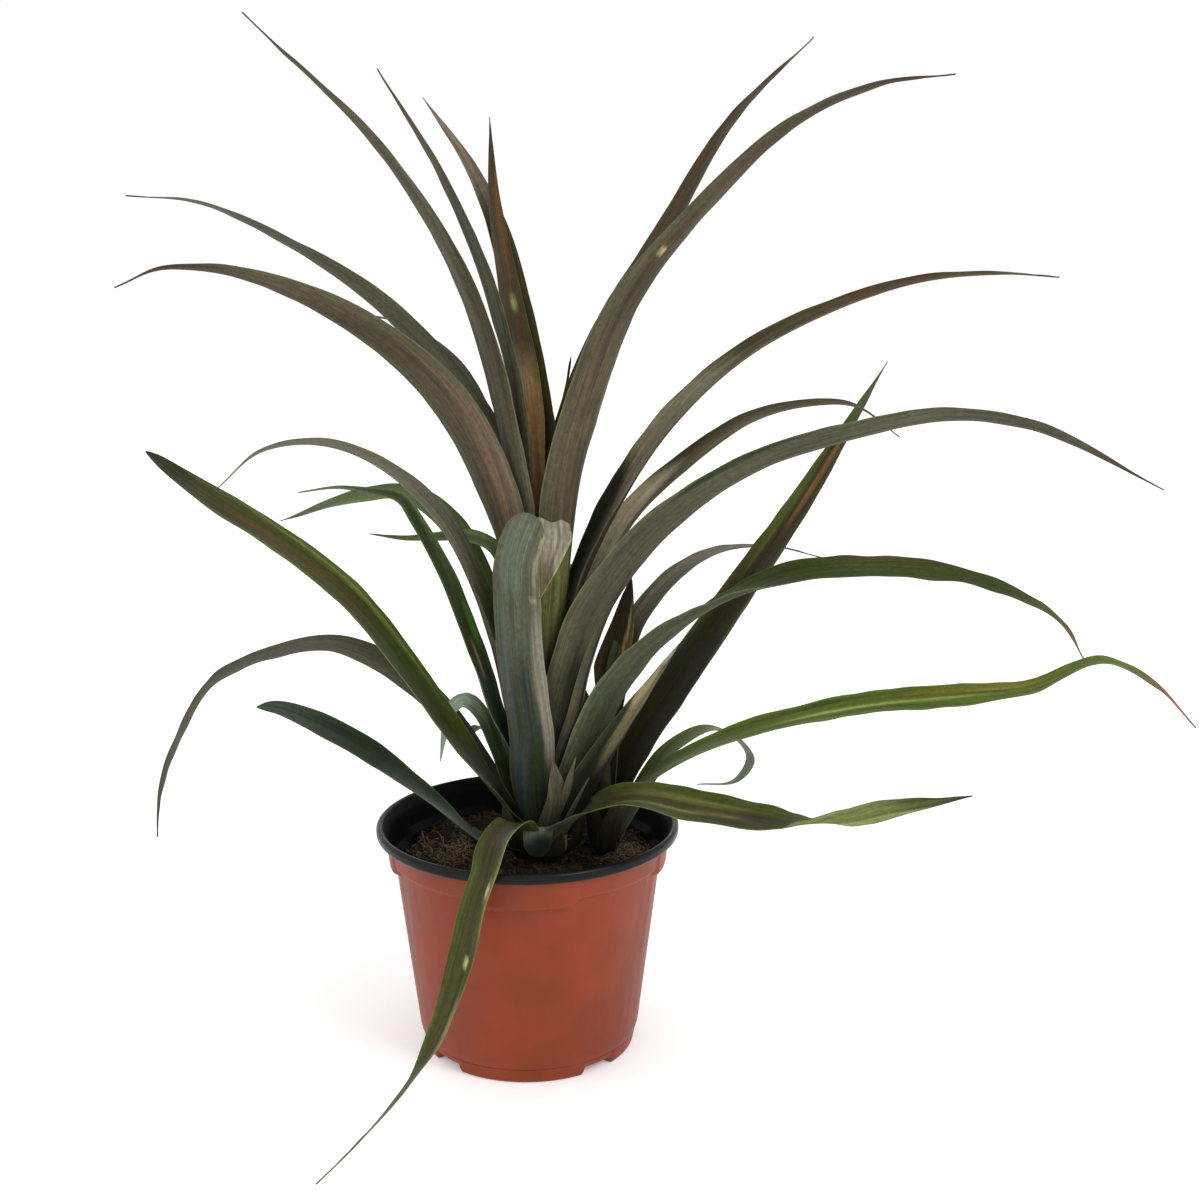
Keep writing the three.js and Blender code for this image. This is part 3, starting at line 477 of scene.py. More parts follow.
def nodes_of(material):
    """The shader of a fresh material, and short calls that add and join nodes in its tree."""
    material.use_nodes = True
    tree = material.node_tree
    shader = tree.nodes["Principled BSDF"]

    def add(kind, **settings):
        node = tree.nodes.new(kind)
        for key, value in settings.items():
            if key.startswith("in_"):
                node.inputs[key[3:].replace("_", " ")].default_value = value
            else:
                setattr(node, key, value)
        return node

    def join(output, socket):
        tree.links.new(output, socket)

    return shader, add, join


def ramp(add, join, source, *stops):
    """A colour ramp on a value: each stop is (position, brightness or colour)."""
    node = add("ShaderNodeValToRGB")
    elements = node.color_ramp.elements
    while len(elements) < len(stops):
        elements.new(0.5)
    for element, (position, value) in zip(elements, stops):
        element.position = position
        element.color = (value, value, value, 1) if isinstance(value, (int, float)) else (*value, 1)
    join(source, node.inputs["Fac"])
    return node.outputs["Color"]


def stretched(add, join, vector, *scale):
    """A vector with each of its axes scaled."""
    node = add("ShaderNodeMapping", in_Scale=scale)
    join(vector, node.inputs["Vector"])
    return node.outputs["Vector"]


def texture(add, join, vector, scale, detail, roughness=0.5):
    """Noise laid out by a vector."""
    node = add("ShaderNodeTexNoise", in_Scale=scale, in_Detail=detail, in_Roughness=roughness)
    join(vector, node.inputs["Vector"])
    return node.outputs["Fac"]


def bumps(add, join, shader, height, strength, distance):
    """Small bumps on a surface, up to a distance in metres."""
    node = add("ShaderNodeBump", in_Strength=strength, in_Distance=distance)
    join(height, node.inputs["Height"])
    join(node.outputs["Normal"], shader.inputs["Normal"])


def leaf_material():
    """Leathery blade: painted tint, lengthwise veins, mottling, and a waxy bloom underneath."""
    material = bpy.data.materials.new("leaf")
    shader, add, join = nodes_of(material)
    tint = add("ShaderNodeAttribute", attribute_name="tint")
    blade = add("ShaderNodeAttribute", attribute_name="blade")  # across mm, along mm, own number
    bloom = add("ShaderNodeAttribute", attribute_name="bloom")  # 1 on the waxy underside

    def streaks(across, along, detail):
        vector = stretched(add, join, blade.outputs["Vector"], across, along, 1)
        return texture(add, join, vector, 1, detail, 0.6)

    veins = streaks(2.2, 0.02, 2)
    bands = streaks(0.45, 0.012, 3)
    mottle = streaks(0.5, 0.3, 4)
    specks = streaks(3.0, 2.0, 2)

    def shaded(colour, pattern, *stops):
        node = add("ShaderNodeMix", data_type="RGBA", blend_type="MULTIPLY")
        node.inputs["Factor"].default_value = 1
        join(colour, node.inputs["A"])
        join(ramp(add, join, pattern, *stops), node.inputs["B"])
        return node.outputs["Result"]

    colour = shaded(tint.outputs["Color"], veins, (0.3, 0.7), (0.7, 1.24))
    colour = shaded(colour, bands, (0.3, 0.72), (0.7, 1.24))
    colour = shaded(colour, mottle, (0.3, 0.78), (0.7, 1.18))
    colour = shaded(colour, specks, (0.35, 0.86), (0.75, 1.14))
    join(colour, shader.inputs["Base Color"])
    roughness = add("ShaderNodeMapRange", in_To_Min=0.42, in_To_Max=0.7)
    join(bloom.outputs["Fac"], roughness.inputs["Value"])
    join(roughness.outputs["Result"], shader.inputs["Roughness"])
    shader.inputs["Specular IOR Level"].default_value = 0.15
    bumps(add, join, shader, veins, 0.35, 0.0004)
    return material


def plastic_material(name, colour, streak, roughness, gloss):
    """Thermoformed sheet: a slightly uneven colour, faint scuffs and a soft sheen."""
    material = bpy.data.materials.new(name)
    shader, add, join = nodes_of(material)
    place = add("ShaderNodeTexCoord").outputs["Object"]
    cloud = texture(add, join, place, 14, 5, 0.6)
    scuff = texture(add, join, stretched(add, join, place, 60, 60, 6), 3, 6, 0.7)
    base = add("ShaderNodeMix", data_type="RGBA")
    base.inputs["A"].default_value = (*linear(colour), 1)
    base.inputs["B"].default_value = (*linear(streak), 1)
    join(ramp(add, join, cloud, (0.35, 0.0), (0.7, 1.0)), base.inputs["Factor"])
    join(base.outputs["Result"], shader.inputs["Base Color"])
    rough = add("ShaderNodeMapRange", in_From_Min=0.3, in_From_Max=0.75)
    rough.inputs["To Min"].default_value = roughness - 0.06
    rough.inputs["To Max"].default_value = roughness + 0.1
    join(scuff, rough.inputs["Value"])
    join(rough.outputs["Result"], shader.inputs["Roughness"])
    shader.inputs["Specular IOR Level"].default_value = gloss
    bumps(add, join, shader, texture(add, join, place, 900, 2), 0.12, 0.0003)
    return material


def crumb_material(name, dark, light, scale):
    """Peat, bark, root fibre or grit: a dull colour that changes from crumb to crumb."""
    material = bpy.data.materials.new(name)
    shader, add, join = nodes_of(material)
    crumbs = texture(add, join, add("ShaderNodeTexCoord").outputs["Object"], scale, 6, 0.7)
    tones = (0.35, tuple(linear(dark))), (0.68, tuple(linear(light)))
    join(ramp(add, join, crumbs, *tones), shader.inputs["Base Color"])
    shader.inputs["Roughness"].default_value = 0.95
    shader.inputs["Specular IOR Level"].default_value = 0.2
    bumps(add, join, shader, crumbs, 0.6, 0.0008)
    return material


# ---- Meshes


def make_object(name, points, faces, materials, smooth=True, face_material=None):
    """A mesh object from points in millimetres, with each face's material where there are several."""
    mesh = bpy.data.meshes.new(name)
    mesh.from_pydata((np.asarray(points) * MM).tolist(), [], faces)
    for material in materials:
        mesh.materials.append(material)
    if face_material is not None:
        mesh.polygons.foreach_set("material_index", face_material)
    mesh.polygons.foreach_set("use_smooth", [smooth] * len(mesh.polygons))
    mesh.update()
    piece = bpy.data.objects.new(name, mesh)
    bpy.context.scene.collection.objects.link(piece)
    return piece


def mount(piece, slot, *nodes):
    """Rides a finished piece on the one body, for the nodes it stands for, which it hides. The slot is not
    used.
    """
    if nodes:
        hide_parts(*nodes)
    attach(piece, "root")


def paint(mesh, name, kind, values):
    """Stores a value for each point, which a material reads by its name."""
    layer = mesh.attributes.new(name, kind, "POINT")
    key = {"FLOAT_COLOR": "color", "FLOAT_VECTOR": "vector", "FLOAT": "value"}[kind]
    layer.data.foreach_set(key, np.asarray(values, np.float32).ravel())


def ring_faces(start, rings, sides, flipped=False):
    """Faces between rings of points, the first of which starts at a given point."""
    faces = []
    for i in range(rings - 1):
        a, b = start + i * sides, start + (i + 1) * sides
        for j in range(sides):
            k = (j + 1) % sides
            faces.append((a + j, a + k, b + k, b + j) if flipped else (a + j, b + j, b + k, a + k))
    return faces


def closed_faces(rings, sides, flipped=False):
    """Faces of a closed form whose points are a first one, rings of points, and a last one."""
    faces = ring_faces(1, rings, sides, flipped)
    last_ring = 1 + (rings - 1) * sides
    for j in range(sides):
        here, there = ((j + 1) % sides, j) if flipped else (j, (j + 1) % sides)
        faces.append((0, 1 + here, 1 + there))
        faces.append((last_ring + here, last_ring + sides, last_ring + there))
    return faces


def circle(radius, z, sides, x=0, y=0):
    """Points on a level circle."""
    turns = [2 * math.pi * j / sides for j in range(sides)]
    return [(x + radius * math.cos(turn), y + radius * math.sin(turn), z) for turn in turns]


def catmull_rom(points, position):
    """A centripetal Catmull-Rom curve through points, at a position from 0 to 1."""
    last = len(points) - 1
    knot = min(int(position * last), last - 1)
    share = position * last - knot
    second, third = points[knot], points[knot + 1]
    first = points[knot - 1] if knot > 0 else 2 * second - third
    fourth = points[knot + 2] if knot + 2 <= last else 2 * third - second
    pairs = ((first, second), (second, third), (third, fourth))
    gaps = [math.sqrt(np.linalg.norm(b - a)) for a, b in pairs]
    start = (second - first) / gaps[0] - (third - first) / (gaps[0] + gaps[1]) + (third - second) / gaps[1]
    end = (third - second) / gaps[1] - (fourth - second) / (gaps[1] + gaps[2]) + (fourth - third) / gaps[2]
    start = start * gaps[1]
    end = end * gaps[1]
    bend = -3 * second + 3 * third - 2 * start - end
    twist = 2 * second - 2 * third + start + end
    return second + start * share + bend * share**2 + twist * share**3


def stem_of(leaf):
    """Where the axis of a leaf's stem stands."""
    stem_x, stem_y, _ = STEMS[leaf.name.split("_")[0]]
    return stem_x, stem_y


def midrib_rows(leaf):
    """The rows of a leaf's midrib in full, with the shifts and rolls of 0 that the table leaves out."""
    return np.array([(*row, 0, 0)[:4] for row in leaf.midrib], float)


def midrib_curve(leaf):
    """The midrib: its knots, the length along it at evenly spaced positions, and the way sideways."""
    azimuth = math.radians(leaf.azimuth)
    outward = np.array((math.cos(azimuth), math.sin(azimuth), 0))
    sideways = np.array((-outward[1], outward[0], 0))
    axis = np.array((*stem_of(leaf), 0))
    knots = [
        axis + outward * reach + sideways * shift + np.array((0, 0, z))
        for reach, z, shift, _ in midrib_rows(leaf)
    ]
    curve = np.array([catmull_rom(knots, t) for t in np.linspace(0, 1, CURVE_SAMPLES)])
    lengths = np.concatenate(([0], np.cumsum(np.linalg.norm(np.diff(curve, axis=0), axis=1))))
    return knots, lengths, sideways


def blade_axes(leaf, knots, sideways, position):
    """At a position on the midrib: its place, the way across the blade and the way up from it."""
    centre = catmull_rom(knots, position)
    ahead = catmull_rom(knots, min(1, position + TANGENT_STEP))
    tangent = ahead - catmull_rom(knots, max(0, position - TANGENT_STEP))
    tangent /= np.linalg.norm(tangent)
    rolls = midrib_rows(leaf)[:, 3]
    knot = min(int(position * (len(rolls) - 1)), len(rolls) - 2)
    share = position * (len(rolls) - 1) - knot
    roll = math.radians(rolls[knot] + (rolls[knot + 1] - rolls[knot]) * smoothstep(share, 0, 1))
    across = sideways - tangent * (sideways @ tangent)
    across /= np.linalg.norm(across)
    across = across * math.cos(roll) - np.cross(tangent, across) * math.sin(roll)
    return centre, across, np.cross(tangent, across)


def blade_width(leaf, along, length, number):
    """The blade's width at a share of its length: necked at the base, tapered or round at the tip."""
    neck = NECK + (1 - NECK) * smoothstep(along, 0, NECK_END)
    if leaf.tip_power < STRAP:
        full = max(leaf.tip_width, leaf.width * neck * (1 - along**leaf.tip_power))
        full *= 1 - POINT_TAPER * smoothstep(along, POINT_START, 1)
    else:
        rounding, narrowing = STRAP_END if leaf.tip_width < BLUNT else LOBE_END
        lobe = min(1, (1 - along) * length / (rounding * leaf.width))
        full = leaf.width * neck * (1 - narrowing * along**leaf.tip_power)
        full *= math.sqrt(max(0.02, 1 - (1 - lobe) ** 2))
    slow = noise.noise(Vector((number * 7.3, along * length / 45, 2)))
    quick = noise.noise(Vector((number * 5.7, along * length / 14, 6)))
    return full * (1 + 0.05 * slow + 0.03 * quick)


def blade(leaf, number):
    """One leaf: its piece, with tint, blade and bloom painted on."""
    stem_x, stem_y = stem_of(leaf)
    knots, lengths, sideways = midrib_curve(leaf)
    length = lengths[-1]
    spread = np.sin(np.linspace(-1, 1, ACROSS + 1) * math.pi / 2)
    flutter = FLUTTERS.get(leaf.name, FLUTTER)
    even = np.linspace(0, 1, max(FEWEST_STATIONS, round(length / STATION_STEP)) + 1)
    stations = np.union1d(even, 1 - TIP_STATIONS / length)
    points, tints, coordinates, blooms = [], [], [], []
    for along in stations:
        position = np.interp(along * length, lengths, np.linspace(0, 1, CURVE_SAMPLES))
        centre, across, upper = blade_axes(leaf, knots, sideways, position)
        radius = math.hypot(centre[0] - stem_x, centre[1] - stem_y)
        narrow = min(blade_width(leaf, along, length, number), 2 * CLASP * radius)
        opened = leaf.gutter * (1 - GUTTER_FLATTENING * along) * min(1, radius / GUTTER_REACH)
        half_angle = max(narrow / 2 / radius, opened)
        bend = narrow / 2 / half_angle
        middle = BASE_THICKNESS + (TIP_THICKNESS - BASE_THICKNESS) * min(1, along * THINNING)
        for side in (1, -1):
            for q in spread[::side]:
                thickness = middle + (MARGIN_THICKNESS - middle) * q * q
                reach = bend - side * thickness / 2
                turn = half_angle * q
                ripple = Vector((number * 3.1 + math.copysign(4, q), along * length / FLUTTER_LENGTH, 0))
                lift = flutter * noise.noise(ripple) * abs(q) ** 3 * smoothstep(along, *FLUTTER_START)
                rise = bend - reach * math.cos(turn) + lift
                place = (q * narrow / 2, along * length)
                points.append(centre + upper * rise + across * (reach * math.sin(turn)))
                coordinates.append((*place, number * GRAIN_SHIFT))
                blooms.append(0.0 if side == 1 else 1.0)
                tints.append(leaf_colour(leaf, number, side, q, place, length))
    ring = 2 * (ACROSS + 1)
    faces = ring_faces(0, len(stations), ring)
    end = (len(stations) - 1) * ring
    for j in range(ACROSS):
        low, high = j, ring - 1 - j
        faces.append((low, low + 1, high - 1, high))
        faces.append((end + low, end + high, end + high - 1, end + low + 1))
    piece = make_object(leaf.name + "_blade", points, faces, [LEAF])
    paint_blade(piece.data, tints, coordinates, blooms)
    corners = (0, ACROSS, ACROSS + 1, ring - 1)
    for edge in piece.data.edges:
        a, b = edge.vertices
        if a % ring in corners and a % ring == b % ring:
            edge.use_edge_sharp = True
    mount(piece, "leaf", leaf.name)


def paint_blade(mesh, tints, coordinates, blooms):
    """Stores what the leaf material reads: the tint, the place on the blade and the bloom."""
    paint(mesh, "tint", "FLOAT_COLOR", np.column_stack((tints, np.ones(len(tints)))))
    paint(mesh, "blade", "FLOAT_VECTOR", coordinates)
    paint(mesh, "bloom", "FLOAT", blooms)


def torn_flap():
    """The torn half of the broken leaf: a thin wavy sheet that hangs from the lobe's inner margin."""
    leaf = next(leaf for leaf in LEAVES if leaf.name == FLAP_LEAF)
    stem_x, stem_y = stem_of(leaf)
    azimuth = math.radians(leaf.azimuth)
    points, tints, coordinates = [], [], []
    for side in (1, -1):
        for i in range(FLAP_ROWS + 1):
            for j in range(FLAP_COLUMNS + 1):
                across, down = j / FLAP_COLUMNS, i / FLAP_ROWS
                reach, z, shift = torn_flap_point(across, down)
                reach += side * FLAP_THICKNESS / 2
                x = stem_x + reach * math.cos(azimuth) - shift * math.sin(azimuth)
                y = stem_y + reach * math.sin(azimuth) + shift * math.cos(azimuth)
                points.append((x, y, z))
                tints.append(torn_flap_colour(across, down))
                coordinates.append((shift, z, FLAP_GRAIN))
    wide = FLAP_COLUMNS + 1
    layer = wide * (FLAP_ROWS + 1)
    faces = []
    for i in range(FLAP_ROWS):
        for j in range(FLAP_COLUMNS):
            a = i * wide + j
            faces.append((a, a + wide, a + wide + 1, a + 1))
            faces.append((layer + a, layer + a + 1, layer + a + wide + 1, layer + a + wide))
    rim = list(range(FLAP_COLUMNS)) + [i * wide + FLAP_COLUMNS for i in range(FLAP_ROWS)]
    rim += [layer - 1 - v for v in rim]
    for a, b in zip(rim, rim[1:] + rim[:1]):
        faces.append((a, b, layer + b, layer + a))
    piece = make_object(FLAP_LEAF + "_torn_flap", points, faces, [LEAF])
    paint_blade(piece.data, tints, coordinates, [0.5] * len(points))
    mount(piece, "leaf")


def torn_flap_point(across, down):
    """Reach from the stem's axis, height and sideways shift on the flap, from its top left corner."""
    left, right = (
        np.array([np.interp(down, [row[0] for row in rows], [row[k] for row in rows]) for k in (1, 2, 3)])
        for rows in (FLAP_LEFT, FLAP_RIGHT)
    )
    point = left + (right - left) * across
    fold = math.sin(across * 3 * math.pi) * math.sin(min(1, 4 * across) * math.pi / 2)
    point[0] += (1 - down) * (FLAP_FOLD * fold - FLAP_BULGE * math.sin(across * math.pi))
    point[1] += (1 - smoothstep(down, 0, 0.3)) * FLAP_WAVE * math.sin(across * 3 * math.pi + 0.6)
    return point


def torn_flap_colour(across, down):
    """Taupe with light streaks at the top, olive lower down, and pale along both edges."""
    streak = noise.noise(Vector((across * 9, down * 1.2, 4)))
    colour = linear(FLAP_TAUPE) * (1 + 0.6 * streak)
    lower = smoothstep(down + 0.3 * (0.5 - across), 0.35, 0.75)
    colour = colour + (linear(FLAP_OLIVE) - colour) * lower
    right_edge = smoothstep(across, 0.9, 1) * smoothstep(down, 0.1, 0.25)
    edge = max(right_edge, 1 - smoothstep(across, 0, 0.12))
    return colour + (linear(FLAP_EDGE) - colour) * 0.85 * edge


def leaf_colour(leaf, number, side, q, place, length):
    """The painted colour at one point of a blade: q from -1 to 1 across, place in millimetres."""
    look = LOOKS[leaf.look]
    across, along = place
    centre, edge = (look.upper, look.upper_edge) if side == 1 else (look.lower, look.lower_edge)
    centre, edge = linear(centre), linear(edge)
    drift = noise.noise(Vector((q * 2.4 + number, along / 90, side)))
    colour = centre + (edge - centre) * smoothstep(abs(q + 0.12 * drift), 0.5, 0.9)
    colour = colour * (1 + 0.3 * noise.noise(Vector((q * 1.2, along / 55, number + 9 * side))))
    if leaf.tip_width < BLUNT:
        dryness = smoothstep(along + 10 * drift, length - DRY_TIP[0], length - DRY_TIP[1])
        colour = colour + (linear(look.tip) - colour) * dryness
    for mark in MARKS.get(leaf.name, []):
        if mark.side in (0, side):
            away = math.hypot((along - mark.along) / mark.length, (across - mark.across) / mark.width)
            share = mark.strength * (1 - smoothstep(away, mark.core, 1))
            colour = colour + (linear(mark.colour) - colour) * share
    pale_edge = 0.45 * smoothstep(abs(q), 0.94, 0.99) * (1 - along / length)
    colour = colour + (linear(PALE_MARGIN) - colour) * pale_edge
    # painted shade: each blade darkens towards its foot, where the heart of the rosette is in shade
    return colour * (1 - FOOT_PAINTED_SHADE * smoothstep(-along, -FOOT_REACH, 0))


LEAF = leaf_material()


# ---- Pot


def in_repeat(azimuth, first, half_angle, slope):
    """How far inside one of the evenly spaced repeats an azimuth lies: 1 inside, 0 outside."""
    pitch = 360 / REPEATS
    away = abs((azimuth - first + pitch / 2) % pitch - pitch / 2)
    return float(1 - smoothstep(away, half_angle, half_angle + slope))


def pot_outline(azimuth):
    """Corners (radius, height, rounding) of the wall, terracotta outside and then black inside."""
    rise = NOTCH_RISE * in_repeat(azimuth, NOTCH_AZIMUTH, NOTCH_HALF_ANGLE, NOTCH_SLOPE)
    collar = COLLAR_BOTTOM - LUG_DROP * in_repeat(azimuth, LUG_AZIMUTH, LUG_HALF_ANGLE, LUG_SLOPE)
    middle_of_slope = LUG_HALF_ANGLE + LUG_SLOPE / 2
    band = COLLAR_RADIUS - LUG_PROUD * (1 - in_repeat(azimuth, LUG_AZIMUTH, middle_of_slope, 1))
    lip = POT_HEIGHT - LIP_HEIGHT
    barrel = CREASE_HEIGHT + CREASE_ROUND
    outside = [
        (0, 0, 0), (NOTCH_RADIUS, 0, 0.3), (NOTCH_RADIUS + EDGE, rise, 0.3), (FOOT_RADIUS, rise, 0.5),
        (FOOT_RADIUS + EDGE, rise + EDGE, 0.8), (CREASE_RADIUS, CREASE_HEIGHT - GROOVE, 0.3),
        (CREASE_RADIUS - GROOVE, CREASE_HEIGHT, 0.1), (CREASE_RADIUS + 0.3, CREASE_HEIGHT + GROOVE, 0.3),
        (BARREL_RADIUS, barrel, 3), (SHOULDER_RADIUS, collar - EDGE, 0.8),
        (band - EDGE, collar - 0.2, 0.5), (band, collar + EDGE, 1), (band + COLLAR_FLARE, lip, 0.8),
    ]
    inside = [
        (RIM_RADIUS - EDGE, lip, 1.2), (RIM_RADIUS, lip + EDGE, 1.2), (RIM_RADIUS, POT_HEIGHT - EDGE, 1),
        (RIM_RADIUS - EDGE, POT_HEIGHT, 1), (RIM_RADIUS - LIP_WIDTH + EDGE, POT_HEIGHT, 1.2),
        (RIM_RADIUS - LIP_WIDTH, POT_HEIGHT - EDGE, 1.2), (COLLAR_RADIUS + COLLAR_FLARE - WALL, lip, 2),
        (COLLAR_RADIUS - WALL, collar + 2 * EDGE, 1), (SHOULDER_RADIUS - WALL, collar, 1.2),
        (BARREL_RADIUS - WALL, barrel, 2), (CREASE_RADIUS - WALL, CREASE_HEIGHT, 1),
        (FOOT_RADIUS - WALL, rise + WALL, 0.6), (NOTCH_RADIUS, rise + WALL, 0.3),
        (NOTCH_RADIUS - WALL, WALL, 0.3), (0, WALL, 0),
    ]
    return outside, inside


def rounded(corners):
    """Points of an outline whose inner corners are rounded off, in ROUND_STEPS steps each."""
    points = [corners[0][:2]]
    for before, corner, after in zip(corners, corners[1:], corners[2:]):
        place = np.array(corner[:2], float)
        back, forth = np.array(before[:2]) - place, np.array(after[:2]) - place
        start = place + back * min(0.45, corner[2] / max(np.linalg.norm(back), 0.01))
        end = place + forth * min(0.45, corner[2] / max(np.linalg.norm(forth), 0.01))
        for share in np.linspace(0, 1, ROUND_STEPS + 1):
            points.append(start * (1 - share) ** 2 + place * 2 * share * (1 - share) + end * share**2)
    points.append(corners[-1][:2])
    return points


def pot():
    """The pot as one shell: terracotta outside, black on the lip and inside."""
    outside, inside = pot_outline(0)
    inner = len(rounded(outside + inside)) - 2
    terracotta_rows = len(rounded(outside)) - 2
    lip_rows = (ROUND_STEPS + 1) * LIP_CORNERS
    points = [(0, 0, outside[0][1]), (0, 0, inside[-1][1])]
    for side in range(POT_SIDES):
        azimuth = 360 * side / POT_SIDES
        outside, inside = pot_outline(azimuth)
        turn = math.radians(azimuth)
        for radius, z in rounded(outside + inside)[1:-1]:
            points.append((radius * math.cos(turn), radius * math.sin(turn), z))
    faces, face_zone = [], []
    for side in range(POT_SIDES):
        here, after = 2 + side * inner, 2 + (side + 1) % POT_SIDES * inner
        faces.append((0, after, here))
        for i in range(inner - 1):
            faces.append((here + i, after + i, after + i + 1, here + i + 1))
        faces.append((here + inner - 1, after + inner - 1, 1))
        face_zone += [0] * (terracotta_rows + 1) + [1] * lip_rows
        face_zone += [2] * (inner - terracotta_rows - lip_rows)
    terracotta = plastic_material("terracotta_plastic", (134, 50, 12), (112, 40, 8), 0.46, 0.3)
    lip = plastic_material("lip_plastic", (10, 11, 12), (15, 16, 17), 0.3, 0.15)
    # the inside's copy of the black plastic is duller and a touch darker than the lip's: painted shade
    # inside the pot
    black = plastic_material("black_plastic", (9, 10, 9), (13, 14, 13), 0.5, 0.08)
    piece = make_object("pot_shell", points, faces, [terracotta, lip, black], face_material=face_zone)
    mount(piece, "pot_plastic", "pot")


# ---- Potting mix and stems


def soil_height(x, y):
    """The potting mix's surface: low swells, lumps and crumbs."""
    swell = 1.6 * noise.noise(Vector((x / 24, y / 24, 3)))
    lumps = 2.2 * abs(noise.noise(Vector((x / 6, y / 6, 8))))
    crumbs = 1.0 * noise.noise(Vector((x / 2.2, y / 2.2, 5))) + 0.5 * noise.noise(Vector((x, y, 2)))
    return SOIL_TOP + swell + lumps + crumbs - 0.6


def soil():
    """The potting mix: a crumbly top that falls away at the wall, and plain sides down to its floor."""
    wall = SHOULDER_RADIUS - WALL - SOIL_GAP
    points = [(0, 0, soil_height(0, 0))]
    for i in range(1, SOIL_RINGS + 1):
        radius = wall * i / SOIL_RINGS
        fall = SOIL_SHOULDER * smoothstep(radius, wall - SOIL_SLOPE, wall)
        points += [(x, y, soil_height(x, y) - fall) for x, y, _ in circle(radius, 0, SOIL_SIDES)]
    points += circle(FOOT_RADIUS - WALL, SOIL_FLOOR, SOIL_SIDES)
    points.append((0, 0, SOIL_FLOOR))
    peat = crumb_material("peat", (10, 9, 6), (44, 35, 24), 330)
    piece = make_object("peat_surface", points, closed_faces(SOIL_RINGS + 1, SOIL_SIDES), [peat])
    mount(piece, "potting_mix", "potting_mix")


def clear_of_stems(x, y, margin):
    return all(math.hypot(x - sx, y - sy) > profile[1][1] + margin for sx, sy, profile in STEMS.values())


def scatter(draw, size, heap=None):
    """A spot on the potting mix, clear of the wall and the stems, all over it or in a heap."""
    while True:
        if heap is None:
            radius, turn = SHOULDER_RADIUS * math.sqrt(draw.random()), 2 * math.pi * draw.random()
            x, y = radius * math.cos(turn), radius * math.sin(turn)
        else:
            x, y = draw.gauss(heap[0], heap[2]), draw.gauss(heap[1], heap[2])
        near = SHOULDER_RADIUS - WALL - SCATTER_MARGIN - size
        if math.hypot(x, y) < near and clear_of_stems(x, y, size):
            return x, y


def chips(name, count, lengths, flatness, material, seed):
    """Angular bits, each a squashed, tapered and jittered block, half sunk in the potting mix."""
    draw = random.Random(seed)
    points, faces = [], []
    shape = [(x, y, z) for z in (-1, 1) for x, y in ((-1, -1), (1, -1), (1, 1), (-1, 1))]
    sides = [(0, 3, 2, 1), (4, 5, 6, 7), (0, 1, 5, 4), (1, 2, 6, 5), (2, 3, 7, 6), (3, 0, 4, 7)]
    for _ in range(count):
        length = lengths[0] + (lengths[1] - lengths[0]) * draw.random() ** 2
        x, y = scatter(draw, length / 2)
        half_width = length * draw.uniform(0.15, 0.45)
        thickness = length * flatness * draw.uniform(0.5, 1.1)
        half = np.array((length / 2, half_width, thickness / 2))
        turn, tilt = draw.uniform(0, 2 * math.pi), draw.uniform(-0.9, 0.9)
        taper = draw.uniform(0.25, 1)
        start = len(points)
        for corner in shape:
            local = np.array([c * h * draw.uniform(0.6, 1.1) for c, h in zip(corner, half)])
            local[1] *= taper if corner[0] > 0 else 1
            lx = local[0] * math.cos(tilt) - local[2] * math.sin(tilt)
            lz = local[0] * math.sin(tilt) + local[2] * math.cos(tilt)
            px = x + lx * math.cos(turn) - local[1] * math.sin(turn)
            py = y + lx * math.sin(turn) + local[1] * math.cos(turn)
            points.append((px, py, soil_height(x, y) + half[2] * 0.5 + lz))
        faces += [tuple(start + v for v in side) for side in sides]
    piece = make_object(name, points, faces, [material], smooth=False)
    mount(piece, "potting_mix")


def fibres(name, count, radii, rise, material, seed, heap=None):
    """Root and coir fibres that curl over the potting mix, up to a small height above it."""
    draw = random.Random(seed)
    points, faces = [], []
    for _ in range(count):
        x, y = scatter(draw, 3, heap)
        turn = draw.uniform(0, 2 * math.pi)
        curl = draw.uniform(-0.35, 0.35)
        radius = draw.uniform(*radii)
        crest = rise * draw.random() ** 2
        steps = draw.randint(6, 18)
        start = len(points)
        for i in range(steps):
            if math.hypot(x, y) > SHOULDER_RADIUS - WALL - FIBRE_MARGIN or not clear_of_stems(x, y, 1):
                turn += math.pi * 0.7
            thin = radius * (1 - 0.6 * i / steps)
            height = soil_height(x, y) + 0.3 + crest * math.sin(math.pi * (i + 0.5) / steps)
            for j in range(FIBRE_SIDES):
                angle = 2 * math.pi * j / FIBRE_SIDES
                side, up = thin * math.cos(angle), thin * math.sin(angle)
                points.append((x - side * math.sin(turn), y + side * math.cos(turn), height + up))
            x += FIBRE_STEP * math.cos(turn)
            y += FIBRE_STEP * math.sin(turn)
            turn += curl + draw.uniform(-0.4, 0.4)
        faces += ring_faces(start, steps, FIBRE_SIDES, flipped=True)
        faces.append(tuple(reversed(range(start, start + FIBRE_SIDES))))
        faces.append(tuple(range(len(points) - FIBRE_SIDES, len(points))))
    piece = make_object(name, points, faces, [material])
    mount(piece, "potting_mix")


